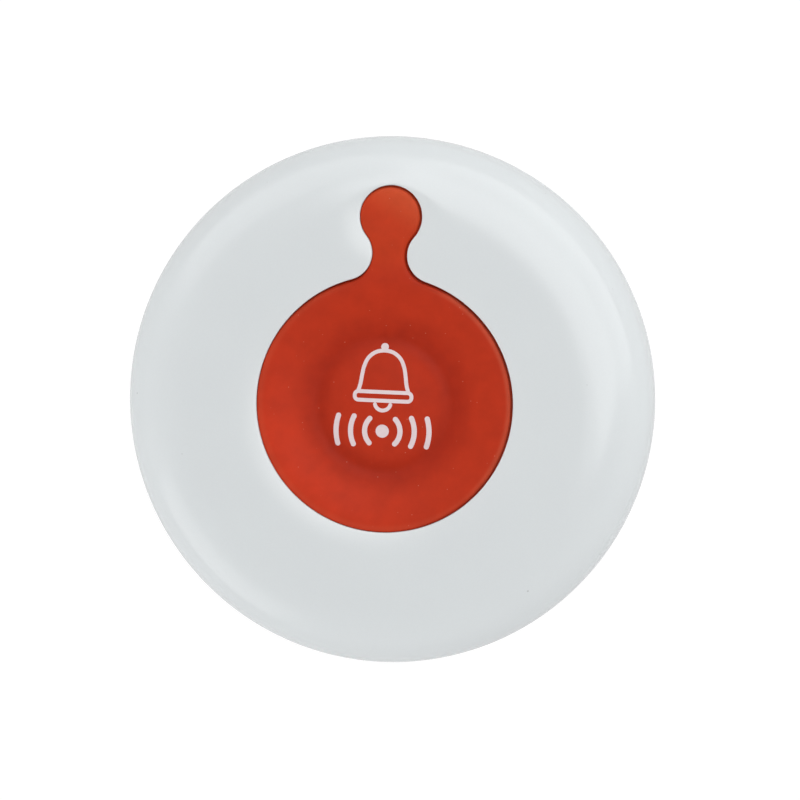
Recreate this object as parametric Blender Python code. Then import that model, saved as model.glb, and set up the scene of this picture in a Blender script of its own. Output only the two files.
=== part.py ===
# Round wireless panic button: a two-part housing, a silicone press key over a tactile
# switch, an indicator tab, a coin cell behind a twist-off door, and rubber feet.
# Metres, +Z up. The origin is on the table under the centre, +Y points to the tab.

import math

import bmesh
import bpy
from mathutils import Matrix, Vector

# Clearances
seat_gap = 0.0003
mould_gap = 0.0002
bore_gap = 0.0003
cut_overrun = 0.0010
fuse_depth = 0.0004
boss_margin = 0.0005

# Press key, neck and tab, seen from above
key_radius = 0.0142
tab_radius = 0.0032
neck_length = 0.0036
neck_fillet = 0.00345
opening_gap = 0.0003

# Press key, in section
key_thickness = 0.00185
key_edge = 0.00045
bowl_depth = 0.0010
bowl_radius = 0.0074
crown_height = 0.0004
key_boss_radius = 0.0020
key_boss_length = 0.0008
key_travel = 0.0007
key_recess = 0.00015

# Silicone web, flange and tab
web_width = 0.0009
web_inset = 0.0006
frame_thickness = 0.0007
frame_margin = 0.0034
tab_margin = 0.0012
tab_rise = 0.0001
tab_dish = 0.0001
tab_edge = 0.00045
tab_skin = 0.0012

# Key retainer
retainer_thickness = 0.0011
retainer_overlap = 0.0006
retainer_reach = 0.0026
retainer_boss_radius = 0.0022

# Housing shells
shell_wall = 0.0020
rim_width = 0.0053
roll_width = 0.0105
opening_dip = 0.0005
base_inset = 0.0035
lip_thickness = 0.0014
lip_height = 0.0012
lip_root = 0.0013
ledge_thickness = 0.0010
collar_wall = 0.0015
foot_height = 0.0008
roll_exponent = 2.6
base_exponent = 2.2

# Seals
housing_seal_section = 0.0005
door_seal_section = 0.0003

# Battery door and coin cell
cell_radius = 0.0100
cell_thickness = 0.0032
cell_cap_radius = 0.0086
cell_cap_height = 0.0002
cell_edge = 0.00015
door_thickness = 0.0014
door_rim = 0.0020
door_wall = 0.0009
door_lug_reach = 0.0012
door_lug_thickness = 0.0005
door_lug_angle = math.radians(28)
door_turn = math.radians(45)
notch_slack = math.radians(3)
seal_pocket_depth = 0.0008
seal_pocket_width = 0.0011
collar_lip = 0.0008
collar_width = 0.0038
coin_slot_length = 0.0130
coin_slot_width = 0.0018
coin_slot_depth = 0.0008

# Battery contacts
contact_room = 0.0013
contact_sheet = 0.0003
contact_width = 0.0030
negative_length = 0.0100
negative_bow = 0.0004
bow_wide_share = 0.5
bow_flat_share = 0.2
positive_foot = 0.0032

# Circuit board
board_thickness = 0.0012
board_clearance = 0.0008

# Tactile switch
switch_width = 0.0060
switch_base_height = 0.0024
switch_floor = 0.0008
switch_cavity_radius = 0.0026
switch_cover_thickness = 0.0003
switch_stub_radius = 0.0017
switch_stub_height = 0.0009
plunger_flange_radius = 0.0022
plunger_flange_height = 0.0003
press_gap = 0.0004
dome_radius = 0.0022
dome_rise = 0.0004
dome_sheet = 0.00015
terminal_width = 0.0007
terminal_sheet = 0.0003
terminal_height = 0.0009
terminal_reach = 0.0013
terminal_spacing = 0.0045

# Indicator
led_length = 0.0030
led_width = 0.0022
led_height = 0.0009
led_lens_radius = 0.0009
led_lens_height = 0.0003
pipe_radius = 0.0015
pipe_shoulder = 0.0009
pipe_shoulder_height = 0.0006

# Parts on the circuit board: length, width, height
chip_size = (0.0050, 0.0039, 0.0015)
transistor_size = (0.0029, 0.0013, 0.0010)
resonator_size = (0.0050, 0.0050, 0.0014)
capacitor_size = (0.0035, 0.0028, 0.0019)
resistor_size = (0.0020, 0.0012, 0.0006)
lead_width = 0.0004
lead_sheet = 0.0002
lead_reach = 0.0010
chip_lead_pitch = 0.00127
transistor_lead_pitch = 0.00095
cap_metal_length = 0.0005
lid_inset = 0.0003
lid_height = 0.0003
chip_place_shares = (-0.36, 0.20)
transistor_place_shares = (0.28, -0.33)
resonator_place_shares = (-0.30, -0.26)
capacitor_place_shares = (0.36, 0.20)
resistor_place_shares = (0.16, 0.52)

# Antenna
antenna_wire = 0.0003
antenna_radius = 0.0017
antenna_length = 0.0120
antenna_turns = 7
antenna_inset = 0.0042

# Screws: shank radius, head radius, head height
case_screw_size = (0.0012, 0.0020, 0.0012)
retainer_screw_size = (0.0008, 0.0015, 0.0009)
board_screw_size = (0.0008, 0.0016, 0.0009)
case_screw_sink = 0.0003
case_screw_seat = 0.0018
case_screw_hold = 0.0060
case_boss_radius = 0.0028
retainer_screw_hold = 0.0019
board_screw_hold = 0.0028
board_post_radius = 0.0021
rest_post_radius = 0.0014
board_post_inset = 0.0030
screw_tip = 0.0005
screw_blind_depth = 0.0004
driver_width_share = 0.25
driver_reach_share = 0.62
driver_depth_share = 0.55

# Feet
foot_radius = 0.0035
foot_seat_depth = 0.0005
foot_edge = 0.0004
foot_margin = 0.0010

# Counts and angles
turn_steps = 48
small_steps = 16
small_start = math.radians(7)
screw_steps = 10
ring_sides = 5
roll_steps = 5
bowl_steps = 3
case_screw_angles = [math.radians(a) for a in (45, 135, 225, 315)]
retainer_screw_angles = [math.radians(a) for a in (60, 120, 240, 300)]
foot_angles = [math.radians(a) for a in (0, 90, 180, 270)]
door_lug_angles = [math.radians(a) for a in (30, 150, 270)]

# Heights, stacked up from the table
base_z = foot_height
floor_z = base_z + shell_wall
door_top = base_z + door_thickness
door_seat = door_top + seat_gap
pocket_top = door_seat + seal_pocket_depth
collar_top = pocket_top + collar_lip
lug_bottom = collar_top + seat_gap
lug_top = lug_bottom + door_lug_thickness
cell_bottom = door_top + seat_gap
cell_top = cell_bottom + cell_thickness
board_bottom = cell_top + contact_room
board_top = board_bottom + board_thickness
part_bottom = board_top + seat_gap
switch_top = part_bottom + switch_base_height
switch_cover_bottom = switch_top + seat_gap
switch_cover_top = switch_cover_bottom + switch_cover_thickness
plunger_top = switch_cover_top + switch_stub_height
key_boss_bottom = plunger_top + press_gap
key_bottom = key_boss_bottom + key_boss_length
key_top = key_bottom + key_thickness
web_top = key_bottom - mould_gap
web_bottom = web_top - key_travel
frame_top = web_bottom - mould_gap
frame_bottom = frame_top - frame_thickness
retainer_top = frame_bottom - seat_gap
retainer_bottom = retainer_top - retainer_thickness
tab_top = key_top + tab_rise
opening_z = key_top + key_recess
crest_z = opening_z + opening_dip
cover_collar_bottom = frame_top + seat_gap
cover_inside_z = crest_z - shell_wall
fuse_z = cover_inside_z + fuse_depth
parting_z = board_bottom
cover_bottom_z = parting_z + seat_gap
lip_top = parting_z + lip_height
lip_foot_z = parting_z - lip_height - lip_root
seal_z = lip_top + seat_gap + housing_seal_section
ledge_bottom = seal_z + housing_seal_section + seat_gap
case_ceiling = base_z + case_screw_sink + case_screw_size[2] + seat_gap
case_post_top = case_ceiling + case_screw_seat
case_boss_bottom = case_post_top + seat_gap

# Radii, worked outwards from the key and the cell
tab_y = key_radius + neck_length + tab_radius
crest_radius = key_radius + rim_width
housing_radius = crest_radius + roll_width
base_radius = housing_radius - base_inset
inside_radius = housing_radius - shell_wall
lip_outer = inside_radius - seat_gap
lip_inner = lip_outer - lip_thickness
seal_radius = lip_inner + lip_thickness / 2
board_radius = lip_inner - board_clearance
case_circle = lip_inner - boss_margin - case_boss_radius
frame_radius = key_radius + frame_margin
retainer_circle = frame_radius + boss_margin + retainer_boss_radius
door_wall_inner = cell_radius + bore_gap
door_spigot = door_wall_inner + door_wall
door_radius = door_spigot + door_rim
door_hole = door_spigot + bore_gap
lug_radius = door_spigot + door_lug_reach
collar_radius = door_hole + collar_width
board_circle = board_radius - board_post_inset
inner_post_circle = lug_radius + boss_margin + board_post_radius
foot_circle = base_radius - foot_margin - foot_radius
board_screw_places = [(board_circle, 0), (board_circle, math.pi), (inner_post_circle, -math.pi / 2)]
rest_post_places = [(inner_post_circle, math.radians(35)), (inner_post_circle, math.radians(145))]


def clear_scene():
    for obj in list(bpy.data.objects):
        bpy.data.objects.remove(obj)


def finish(name, colour, roughness, metallic=0.0):
    material = bpy.data.materials.new(name)
    material.use_nodes = True
    shader = material.node_tree.nodes["Principled BSDF"]
    shader.inputs["Base Color"].default_value = (*colour, 1.0)
    shader.inputs["Roughness"].default_value = roughness
    shader.inputs["Metallic"].default_value = metallic
    return material


def polar(radius, angle):
    return (radius * math.cos(angle), radius * math.sin(angle))


def arc(centre, radius, start, end, steps, with_end=False):
    # Points along an arc, by default without the last one
    angles = [start + (end - start) * i / steps for i in range(steps + with_end)]
    return [(centre[0] + radius * math.cos(a), centre[1] + radius * math.sin(a)) for a in angles]


def circle(centre, radius, steps):
    return arc(centre, radius, 0, math.tau, steps)


def slot(radius, start, end, angle):
    # A round-ended slot between two distances from the centre, along one direction
    quarter = math.pi / 2
    steps = small_steps // 2
    inner = arc(polar(start, angle), radius, angle + quarter, angle + 3 * quarter, steps, True)
    outer = arc(polar(end, angle), radius, angle - quarter, angle + quarter, steps, True)
    return inner + outer


def keyhole_outline(key, tab, fillet):
    # Two circles joined by a concave fillet on each side, which touches both of them
    far = key + fillet
    near = tab + fillet
    y = (tab_y ** 2 + far ** 2 - near ** 2) / (2 * tab_y)
    x = math.sqrt(far ** 2 - y ** 2)
    at_key = math.atan2(y, x)
    at_tab = math.atan2(y - tab_y, x)
    steps = turn_steps // 10
    outline = arc((0, 0), key, math.pi - at_key, math.tau + at_key, turn_steps)
    outline += arc((x, y), fillet, math.pi + at_key, math.pi + at_tab, steps)
    outline += arc((0, tab_y), tab, at_tab, math.pi - at_tab, turn_steps // 3)
    outline += arc((-x, y), fillet, -at_tab, -at_key, steps)
    return outline


def keyhole(offset):
    # The outline of key, neck and tab, moved outwards by an offset
    return keyhole_outline(key_radius + offset, tab_radius + offset, neck_fillet - offset)


def superellipse(inner, outer, low, high, exponent, steps):
    # A quarter from the top at the inner radius down to the low end at the outer radius
    points = []
    for i in range(steps + 1):
        t = math.pi / 2 * i / steps
        across = math.sin(t) ** (2 / exponent)
        up = max(math.cos(t), 0) ** (2 / exponent)
        points.append((inner + (outer - inner) * across, low + (high - low) * up))
    return points


def to_object(name, bm, material=None):
    bmesh.ops.recalc_face_normals(bm, faces=bm.faces)
    mesh = bpy.data.meshes.new(name)
    bm.to_mesh(mesh)
    bm.free()
    mesh.shade_smooth()
    mesh.set_sharp_from_angle(angle=math.radians(35))
    obj = bpy.data.objects.new(name, mesh)
    bpy.context.scene.collection.objects.link(obj)
    if material:
        mesh.materials.append(material)
    else:
        obj.hide_render = True
        obj.display_type = "WIRE"
    return obj


def turned(name, profile, material=None, steps=turn_steps, centres=((0, 0),), start=0.0):
    # A closed profile of (radius, height) points, turned round an upright axis at each centre
    bm = bmesh.new()
    across, along = polar(1, start)
    for x, y in centres:
        verts = [bm.verts.new((x + r * across, y + r * along, z)) for r, z in profile]
        edges = [bm.edges.new((verts[i - 1], verts[i])) for i in range(len(verts))]
        bmesh.ops.spin(bm, geom=verts + edges, cent=(x, y, 0), axis=(0, 0, 1), angle=math.tau,
                       steps=steps, use_merge=True)
    bmesh.ops.remove_doubles(bm, verts=bm.verts, dist=mould_gap / 100)
    return to_object(name, bm, material)


def add_prism(bm, outline, low, high):
    face = bm.faces.new([bm.verts.new((x, y, low)) for x, y in outline])
    raised = bmesh.ops.extrude_face_region(bm, geom=[face])
    verts = [v for v in raised["geom"] if isinstance(v, bmesh.types.BMVert)]
    bmesh.ops.translate(bm, verts=verts, vec=(0, 0, high - low))


def prism(name, outlines, low, high, material=None):
    # One upright prism for each outline
    bm = bmesh.new()
    for outline in outlines:
        add_prism(bm, outline, low, high)
    return to_object(name, bm, material)


def rectangle(centre, length, width):
    x = length / 2
    y = width / 2
    corners = [(-x, -y), (x, -y), (x, y), (-x, y)]
    return [(centre[0] + a, centre[1] + b) for a, b in corners]


def strip(name, section, width, centre, material, turn=0.0):
    # A bent strip: its section in the XZ plane, drawn out along Y, then turned and placed
    bm = bmesh.new()
    face = bm.faces.new([bm.verts.new((x, -width / 2, z)) for x, z in section])
    raised = bmesh.ops.extrude_face_region(bm, geom=[face])
    verts = [v for v in raised["geom"] if isinstance(v, bmesh.types.BMVert)]
    bmesh.ops.translate(bm, verts=verts, vec=(0, width, 0))
    obj = to_object(name, bm, material)
    obj.data.transform(Matrix.Rotation(turn, 4, "Z"))
    obj.location = Vector((*centre, 0))
    return obj


def combine(target, other, operation):
    modifier = target.modifiers.new(other.name, "BOOLEAN")
    modifier.operation = operation
    modifier.object = other
    modifier.solver = "EXACT"


def cut(target, *cutters):
    for cutter in cutters:
        combine(target, cutter, "DIFFERENCE")


def fuse(target, *others):
    for other in others:
        combine(target, other, "UNION")


def trim(target, envelope):
    combine(target, envelope, "INTERSECT")


def circles(places, radius):
    # Small circles start a little off the axes, so that no corner meets an edge of a turned shell
    end = small_start + math.tau
    return [arc(polar(*place), radius, small_start, end, small_steps) for place in places]


def ring_sector(inner, outer, middle, span):
    # A piece of a ring seen from above, centred on an angle
    steps = small_steps // 2
    start = middle - span / 2
    end = middle + span / 2
    outside = arc((0, 0), outer, start, end, steps, True)
    inside = arc((0, 0), inner, end, start, steps, True)
    return outside + inside


def cover_cavity():
    # The room inside the top cover, kept clear of its wall
    low = cover_bottom_z
    high = cover_inside_z - seat_gap
    roll = superellipse(crest_radius, inside_radius - seat_gap, low, high, roll_exponent, roll_steps)
    return turned("cavity_envelope", [(0, high)] + roll + [(0, low)])


def rim_surface(steps):
    # The top surface from inside the opening out to the crest, dipping towards the opening
    start = key_radius - web_width
    points = []
    for i in range(steps):
        r = start + (crest_radius - start) * i / steps
        fall = (crest_radius - r) / rim_width
        points.append((r, crest_z - opening_dip * fall ** 2))
    return points


def bored_bosses(name, places, radius, screw_radius, low, screw_end):
    # Round bosses that hang from the top cover, each with a blind bore for a screw from below
    bore = screw_radius + bore_gap
    end = screw_end + screw_blind_depth
    profile = [(bore, low), (radius, low), (radius, fuse_z), (0, fuse_z), (0, end), (bore, end)]
    return turned(name, profile, steps=small_steps, centres=places, start=small_start)


def make_top_cover(material):
    outer = superellipse(crest_radius, housing_radius, cover_bottom_z, crest_z, roll_exponent, roll_steps)
    inner = superellipse(crest_radius, inside_radius, cover_bottom_z, cover_inside_z, roll_exponent,
                         roll_steps)
    rim = rim_surface(2)
    inside_edge = (rim[0][0], cover_inside_z)
    cover = turned("top_cover", rim + outer + inner[::-1] + [inside_edge], material)

    collar = prism("cover_collar", [keyhole(opening_gap + collar_wall)], cover_collar_bottom, fuse_z)
    ledge = turned("cover_ledge", [
        (lip_inner, ledge_bottom + ledge_thickness),
        (inside_radius + fuse_depth, ledge_bottom + ledge_thickness),
        (inside_radius + fuse_depth, ledge_bottom),
        (lip_inner, ledge_bottom),
    ])
    case_places = [polar(case_circle, a) for a in case_screw_angles]
    retainer_places = [polar(retainer_circle, a) for a in retainer_screw_angles]
    case_bosses = bored_bosses("case_bosses", case_places, case_boss_radius, case_screw_size[0],
                               case_boss_bottom, case_boss_bottom + case_screw_hold)
    retainer_bosses = bored_bosses("retainer_bosses", retainer_places, retainer_boss_radius,
                                   retainer_screw_size[0], retainer_top + seat_gap,
                                   retainer_top + retainer_screw_hold)
    fuse(cover, collar, ledge, case_bosses, retainer_bosses)

    opening = prism("cover_opening", [keyhole(opening_gap)],
                    cover_collar_bottom - cut_overrun, crest_z + cut_overrun)
    cut(cover, opening)
    return cover


def base_curve(inner, outer, low, high):
    # The curve of the side wall, from the flat base at the inner radius up to the outer one
    roll = superellipse(inner, outer, low, high, base_exponent, roll_steps)
    return [(r, low + high - z) for r, z in roll]


def make_bottom_cover(material):
    outside = base_curve(base_radius, housing_radius, base_z, parting_z)
    inside = base_curve(base_radius - shell_wall, inside_radius, floor_z, lip_foot_z)
    lip = [(lip_outer, parting_z), (lip_outer, lip_top)]
    lip += [(lip_inner, lip_top), (lip_inner, lip_foot_z + lip_root)]
    profile = [(0, base_z)] + outside + lip + inside[::-1] + [(0, floor_z)]
    cover = turned("bottom_cover", profile, material)

    collar = turned("door_collar", [
        (0, collar_top), (collar_radius, collar_top), (collar_radius, base_z + shell_wall / 2),
        (0, base_z + shell_wall / 2),
    ])
    case_places = [(case_circle, a) for a in case_screw_angles]
    posts = prism("case_posts", circles(case_places, case_boss_radius), floor_z - fuse_depth, case_post_top)
    board_posts = prism("board_posts", circles(board_screw_places, board_post_radius),
                        floor_z - fuse_depth, board_bottom - seat_gap)
    rest_posts = prism("rest_posts", circles(rest_post_places, rest_post_radius),
                       floor_z - fuse_depth, board_bottom - seat_gap)
    fuse(cover, collar, posts, board_posts, rest_posts)

    below = base_z - cut_overrun
    hole = turned("door_hole", [
        (0, collar_top + cut_overrun), (door_hole, collar_top + cut_overrun), (door_hole, pocket_top),
        (door_hole + seal_pocket_width, pocket_top), (door_hole + seal_pocket_width, door_seat),
        (door_radius + bore_gap, door_seat), (door_radius + bore_gap, below), (0, below),
    ])
    notch_span = door_lug_angle + 2 * notch_slack
    notches = prism("lug_notches", [
        ring_sector(door_wall_inner, lug_radius + bore_gap, a - door_turn, notch_span)
        for a in door_lug_angles
    ], below, collar_top + cut_overrun)
    head_room = case_screw_size[1] + bore_gap
    shank_room = case_screw_size[0] + bore_gap
    counterbores = turned("case_counterbores", [
        (0, below), (head_room, below), (head_room, case_ceiling), (shank_room, case_ceiling),
        (shank_room, case_post_top + cut_overrun), (0, case_post_top + cut_overrun),
    ], steps=small_steps, centres=[polar(*place) for place in case_places], start=small_start)
    board_bores = prism("board_post_bores", circles(board_screw_places, board_screw_size[0] + bore_gap),
                        board_bottom - seat_gap - board_screw_hold, board_bottom)
    foot_places = [(foot_circle, a) for a in foot_angles]
    seats = prism("foot_seats", circles(foot_places, foot_radius + bore_gap), below, base_z + foot_seat_depth)
    cut(cover, hole, notches, counterbores, board_bores, seats)
    return cover


def bowl_surface(steps):
    # The key's top from its rounded edge in to the centre: a shallow bowl with a raised crown
    edge_start = key_radius - key_edge
    low = key_top - bowl_depth
    points = []
    for i in range(steps):
        share = i / steps
        r = edge_start + (bowl_radius - edge_start) * share
        points.append((r, low + bowl_depth * (1 + math.cos(math.pi * share)) / 2))
    for i in range(steps + 1):
        share = i / steps
        r = bowl_radius * (1 - share)
        points.append((r, low + crown_height * (1 - math.cos(math.pi * share)) / 2))
    return points


def rounded_edge(radius, top, edge, steps):
    # A quarter round from the side wall up to the top
    points = []
    for i in range(steps):
        t = math.pi / 2 * i / steps
        points.append((radius - edge + edge * math.cos(t), top - edge + edge * math.sin(t)))
    return points


def make_silicone_key(material):
    profile = [(0, key_boss_bottom), (key_boss_radius, key_boss_bottom), (key_boss_radius, key_bottom)]
    profile += [(key_radius, key_bottom)]
    profile += rounded_edge(key_radius, key_top, key_edge, 3)
    profile += bowl_surface(bowl_steps)
    return turned("silicone_key", profile, material)


def make_silicone_web(material):
    outer = key_radius - web_inset
    inner = outer - web_width
    return turned("silicone_web", [
        (inner, web_bottom), (outer, web_bottom), (outer, web_top), (inner, web_top),
    ], material)


def make_silicone_neck(material):
    neck = prism("silicone_neck", [keyhole(0)], key_bottom, key_top)
    neck.data.materials.append(material)
    neck.hide_render = False
    neck.display_type = "TEXTURED"
    low = key_bottom - cut_overrun
    high = key_top + cut_overrun
    key_room = prism("neck_key_room", [circle((0, 0), key_radius + mould_gap, turn_steps)], low, high)
    tab_circle = circle((0, tab_y), tab_radius + mould_gap, turn_steps // 2)
    tab_room = prism("neck_tab_room", [tab_circle], low, high)
    cut(neck, key_room, tab_room)
    return neck


def make_silicone_frame(material, envelope):
    outline = keyhole_outline(frame_radius, tab_radius + tab_margin, tab_margin)
    frame = prism("silicone_frame", [outline], frame_bottom, frame_top, material)
    trim(frame, envelope)
    tab_profile = [(0, frame_top - frame_thickness / 2), (tab_radius, frame_top - frame_thickness / 2)]
    tab_profile += rounded_edge(tab_radius, tab_top, tab_edge, 3)
    tab_profile += [(tab_radius - tab_edge, tab_top), (0, tab_top - tab_dish)]
    tab = turned("tab_pillar", tab_profile, steps=turn_steps // 2, centres=[(0, tab_y)])
    fuse(frame, tab)
    inner = key_radius - web_inset - web_width - mould_gap
    key_room = prism("frame_key_room", [circle((0, 0), inner, turn_steps)],
                     frame_bottom - cut_overrun, frame_top + cut_overrun)
    bore = turned("tab_bore", [
        (0, tab_top - tab_skin), (pipe_radius + bore_gap, tab_top - tab_skin),
        (pipe_radius + bore_gap, frame_bottom + pipe_shoulder_height + seat_gap),
        (pipe_radius + pipe_shoulder + bore_gap, frame_bottom + pipe_shoulder_height + seat_gap),
        (pipe_radius + pipe_shoulder + bore_gap, frame_bottom - cut_overrun),
        (0, frame_bottom - cut_overrun),
    ], steps=small_steps, centres=[(0, tab_y)])
    cut(frame, key_room, bore)
    return frame


def make_retainer(material, envelope):
    outer = frame_radius + retainer_overlap
    outline = keyhole_outline(outer, tab_radius + tab_margin, tab_margin)
    retainer = prism("key_retainer", [outline], retainer_bottom, retainer_top, material)
    ears = prism("retainer_ears", [
        slot(retainer_boss_radius, outer - retainer_reach, retainer_circle, a) for a in retainer_screw_angles
    ], retainer_bottom, retainer_top)
    fuse(retainer, ears)
    trim(retainer, envelope)
    low = retainer_bottom - cut_overrun
    high = retainer_top + cut_overrun
    window = prism("retainer_window", [circle((0, 0), key_radius - retainer_reach, turn_steps)], low, high)
    places = [(retainer_circle, a) for a in retainer_screw_angles]
    holes = prism("retainer_holes", circles(places, retainer_screw_size[0] + bore_gap), low, high)
    pipe_hole = prism("retainer_pipe_hole", [circle((0, tab_y), pipe_radius + bore_gap, small_steps)],
                      low, high)
    cut(retainer, window, holes, pipe_hole)
    return retainer


def make_board(material):
    outline = circle((0, 0), board_radius, turn_steps)
    board = prism("circuit_board", [outline], board_bottom, board_top, material)
    low = board_bottom - cut_overrun
    high = board_top + cut_overrun
    scallops = prism("board_scallops", [
        slot(case_boss_radius + bore_gap, case_circle, housing_radius, a) for a in case_screw_angles
    ], low, high)
    holes = prism("board_holes", circles(board_screw_places, board_screw_size[0] + bore_gap), low, high)
    cut(board, scallops, holes)
    return board


def screw_mesh(name, size, length, material):
    # A pan-head screw with a cross recess: head down at zero height, shank pointing up
    shank, head, height = size
    crown = height / 3
    profile = [(0, 0), (head * 2 / 3, 0), (head, crown), (head, height), (shank, height)]
    profile += [(shank, length - screw_tip), (0, length)]
    body = turned(name, profile, material, steps=screw_steps)
    arm = head * driver_reach_share * 2
    width = head * driver_width_share * 2
    depth = height * driver_depth_share
    along = prism(name + "_recess_x", [rectangle((0, 0), arm, width)], -cut_overrun, depth)
    across = prism(name + "_recess_y", [rectangle((0, 0), width, arm)], -cut_overrun, depth)
    cut(body, along, across)
    bpy.context.view_layer.update()
    graph = bpy.context.evaluated_depsgraph_get()
    mesh = bpy.data.meshes.new_from_object(body.evaluated_get(graph))
    for helper in (body, along, across):
        bpy.data.objects.remove(helper)
    return mesh


def place_screws(name, mesh, places, head_z, head_down):
    for number, place in enumerate(places, 1):
        screw = bpy.data.objects.new(f"{name}_{number}", mesh)
        screw.location = (*polar(*place), head_z)
        screw.rotation_euler = (0 if head_down else math.pi, 0, place[1])
        bpy.context.scene.collection.objects.link(screw)


def make_screws(steel):
    length = case_post_top - case_ceiling + seat_gap * 2 + case_screw_size[2] + case_screw_hold
    places = [(case_circle, a) for a in case_screw_angles]
    place_screws("case_screw", screw_mesh("case_screw", case_screw_size, length, steel),
                 places, base_z + case_screw_sink, True)
    length = retainer_screw_size[2] + seat_gap + retainer_thickness + retainer_screw_hold
    places = [(retainer_circle, a) for a in retainer_screw_angles]
    place_screws("retainer_screw", screw_mesh("retainer_screw", retainer_screw_size, length, steel),
                 places, retainer_bottom - seat_gap - retainer_screw_size[2], True)
    length = board_screw_size[2] + seat_gap * 2 + board_thickness + board_screw_hold - screw_blind_depth
    place_screws("board_screw", screw_mesh("board_screw", board_screw_size, length, steel),
                 board_screw_places, part_bottom + board_screw_size[2], False)


def make_switch(plastic, steel, plunger_plastic):
    half = switch_width / 2
    base = prism("switch_base", [rectangle((0, 0), switch_width, switch_width)], part_bottom, switch_top,
                 plastic)
    cavity = prism("switch_cavity", [circle((0, 0), switch_cavity_radius, turn_steps // 2)],
                   part_bottom + switch_floor, switch_top + cut_overrun)
    cut(base, cavity)

    flange_top = switch_cover_bottom - seat_gap
    flange_bottom = flange_top - plunger_flange_height
    turned("switch_plunger", [
        (0, flange_bottom), (plunger_flange_radius, flange_bottom), (plunger_flange_radius, flange_top),
        (switch_stub_radius, flange_top), (switch_stub_radius, plunger_top), (0, plunger_top),
    ], plunger_plastic, steps=turn_steps // 2)

    cover = prism("switch_cover", [rectangle((0, 0), switch_width, switch_width)],
                  switch_cover_bottom, switch_cover_top, steel)
    hole = prism("switch_cover_hole", [circle((0, 0), switch_stub_radius + bore_gap, turn_steps // 2)],
                 switch_cover_bottom - cut_overrun, switch_cover_top + cut_overrun)
    cut(cover, hole)

    dome_top = flange_bottom - seat_gap
    make_dome(dome_top, steel)

    section = [
        (0, part_bottom), (terminal_reach, part_bottom), (terminal_reach, part_bottom + terminal_sheet),
        (terminal_sheet, part_bottom + terminal_sheet), (terminal_sheet, part_bottom + terminal_height),
        (0, part_bottom + terminal_height),
    ]
    corners = [(1, 1), (-1, 1), (-1, -1), (1, -1)]
    for number, (side, end) in enumerate(corners, 1):
        place = (side * (half + seat_gap), end * terminal_spacing / 2)
        turn = 0 if side > 0 else math.pi
        strip(f"switch_terminal_{number}", section, terminal_width, place, steel, turn)


def make_dome(top, steel):
    # A snap dome: a thin spherical cap that curves down to its rim
    steps = 5
    outer = []
    for i in range(steps + 1):
        r = dome_radius * i / steps
        outer.append((r, top - dome_rise * (i / steps) ** 2))
    inner = [(r, z - dome_sheet) for r, z in outer]
    turned("switch_dome", outer + inner[::-1], steel, steps=small_steps)


def make_indicator(led_plastic, clear):
    led = prism("indicator_led", [rectangle((0, tab_y), led_length, led_width)], part_bottom,
                part_bottom + led_height, led_plastic)
    lens_top = part_bottom + led_height + led_lens_height
    lens = prism("led_lens", [circle((0, tab_y), led_lens_radius, small_steps)],
                 part_bottom + led_height / 2, lens_top)
    fuse(led, lens)
    shoulder_bottom = retainer_top + seat_gap
    shoulder_top = shoulder_bottom + pipe_shoulder_height
    turned("light_pipe", [
        (0, lens_top + seat_gap), (pipe_radius, lens_top + seat_gap), (pipe_radius, shoulder_bottom),
        (pipe_radius + pipe_shoulder, shoulder_bottom), (pipe_radius + pipe_shoulder, shoulder_top),
        (pipe_radius, shoulder_top), (pipe_radius, tab_top - tab_skin - seat_gap),
        (0, tab_top - tab_skin - seat_gap),
    ], clear, steps=small_steps, centres=[(0, tab_y)])


def board_place(shares):
    return (shares[0] * board_radius, shares[1] * board_radius)


def box_part(name, size, shares, material):
    length, width, height = size
    return prism(name, [rectangle(board_place(shares), length, width)], part_bottom, part_bottom + height,
                 material)


def add_leads(part, size, shares, rows):
    # Flat leads: rows maps a side, -1 or 1 along Y, to the X places of its leads
    x, y = board_place(shares)
    outlines = []
    for side, places in rows.items():
        middle = y + side * size[1] / 2
        outlines += [rectangle((x + place, middle), lead_width, lead_reach * 2) for place in places]
    leads = prism(part.name + "_leads", outlines, part_bottom, part_bottom + lead_sheet)
    fuse(part, leads)


def make_electronics(epoxy, ceramic, metal, tin):
    chip = box_part("microcontroller", chip_size, chip_place_shares, epoxy)
    pins = [chip_lead_pitch * (i - 1.5) for i in range(4)]
    add_leads(chip, chip_size, chip_place_shares, {-1: pins, 1: pins})

    transistor = box_part("rf_transistor", transistor_size, transistor_place_shares, epoxy)
    pair = [-transistor_lead_pitch, transistor_lead_pitch]
    add_leads(transistor, transistor_size, transistor_place_shares, {-1: pair, 1: [0]})

    resonator = box_part("saw_resonator", resonator_size, resonator_place_shares, metal)
    length, width, height = resonator_size
    lid = prism("resonator_lid", [
        rectangle(board_place(resonator_place_shares), length - 2 * lid_inset, width - 2 * lid_inset)
    ], part_bottom + height / 2, part_bottom + height + lid_height)
    fuse(resonator, lid)

    for name, size, shares, material in (
        ("reservoir_capacitor", capacitor_size, capacitor_place_shares, ceramic),
        ("led_resistor", resistor_size, resistor_place_shares, tin),
    ):
        part = box_part(name, size, shares, material)
        x, y = board_place(shares)
        waist = (size[0] - 2 * cap_metal_length, size[1])
        step = prism(name + "_waist", [
            rectangle((x, y - size[1]), waist[0], size[1] + lead_sheet),
            rectangle((x, y + size[1]), waist[0], size[1] + lead_sheet),
        ], part_bottom - cut_overrun, part_bottom + size[2] + cut_overrun)
        cut(part, step)


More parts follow.
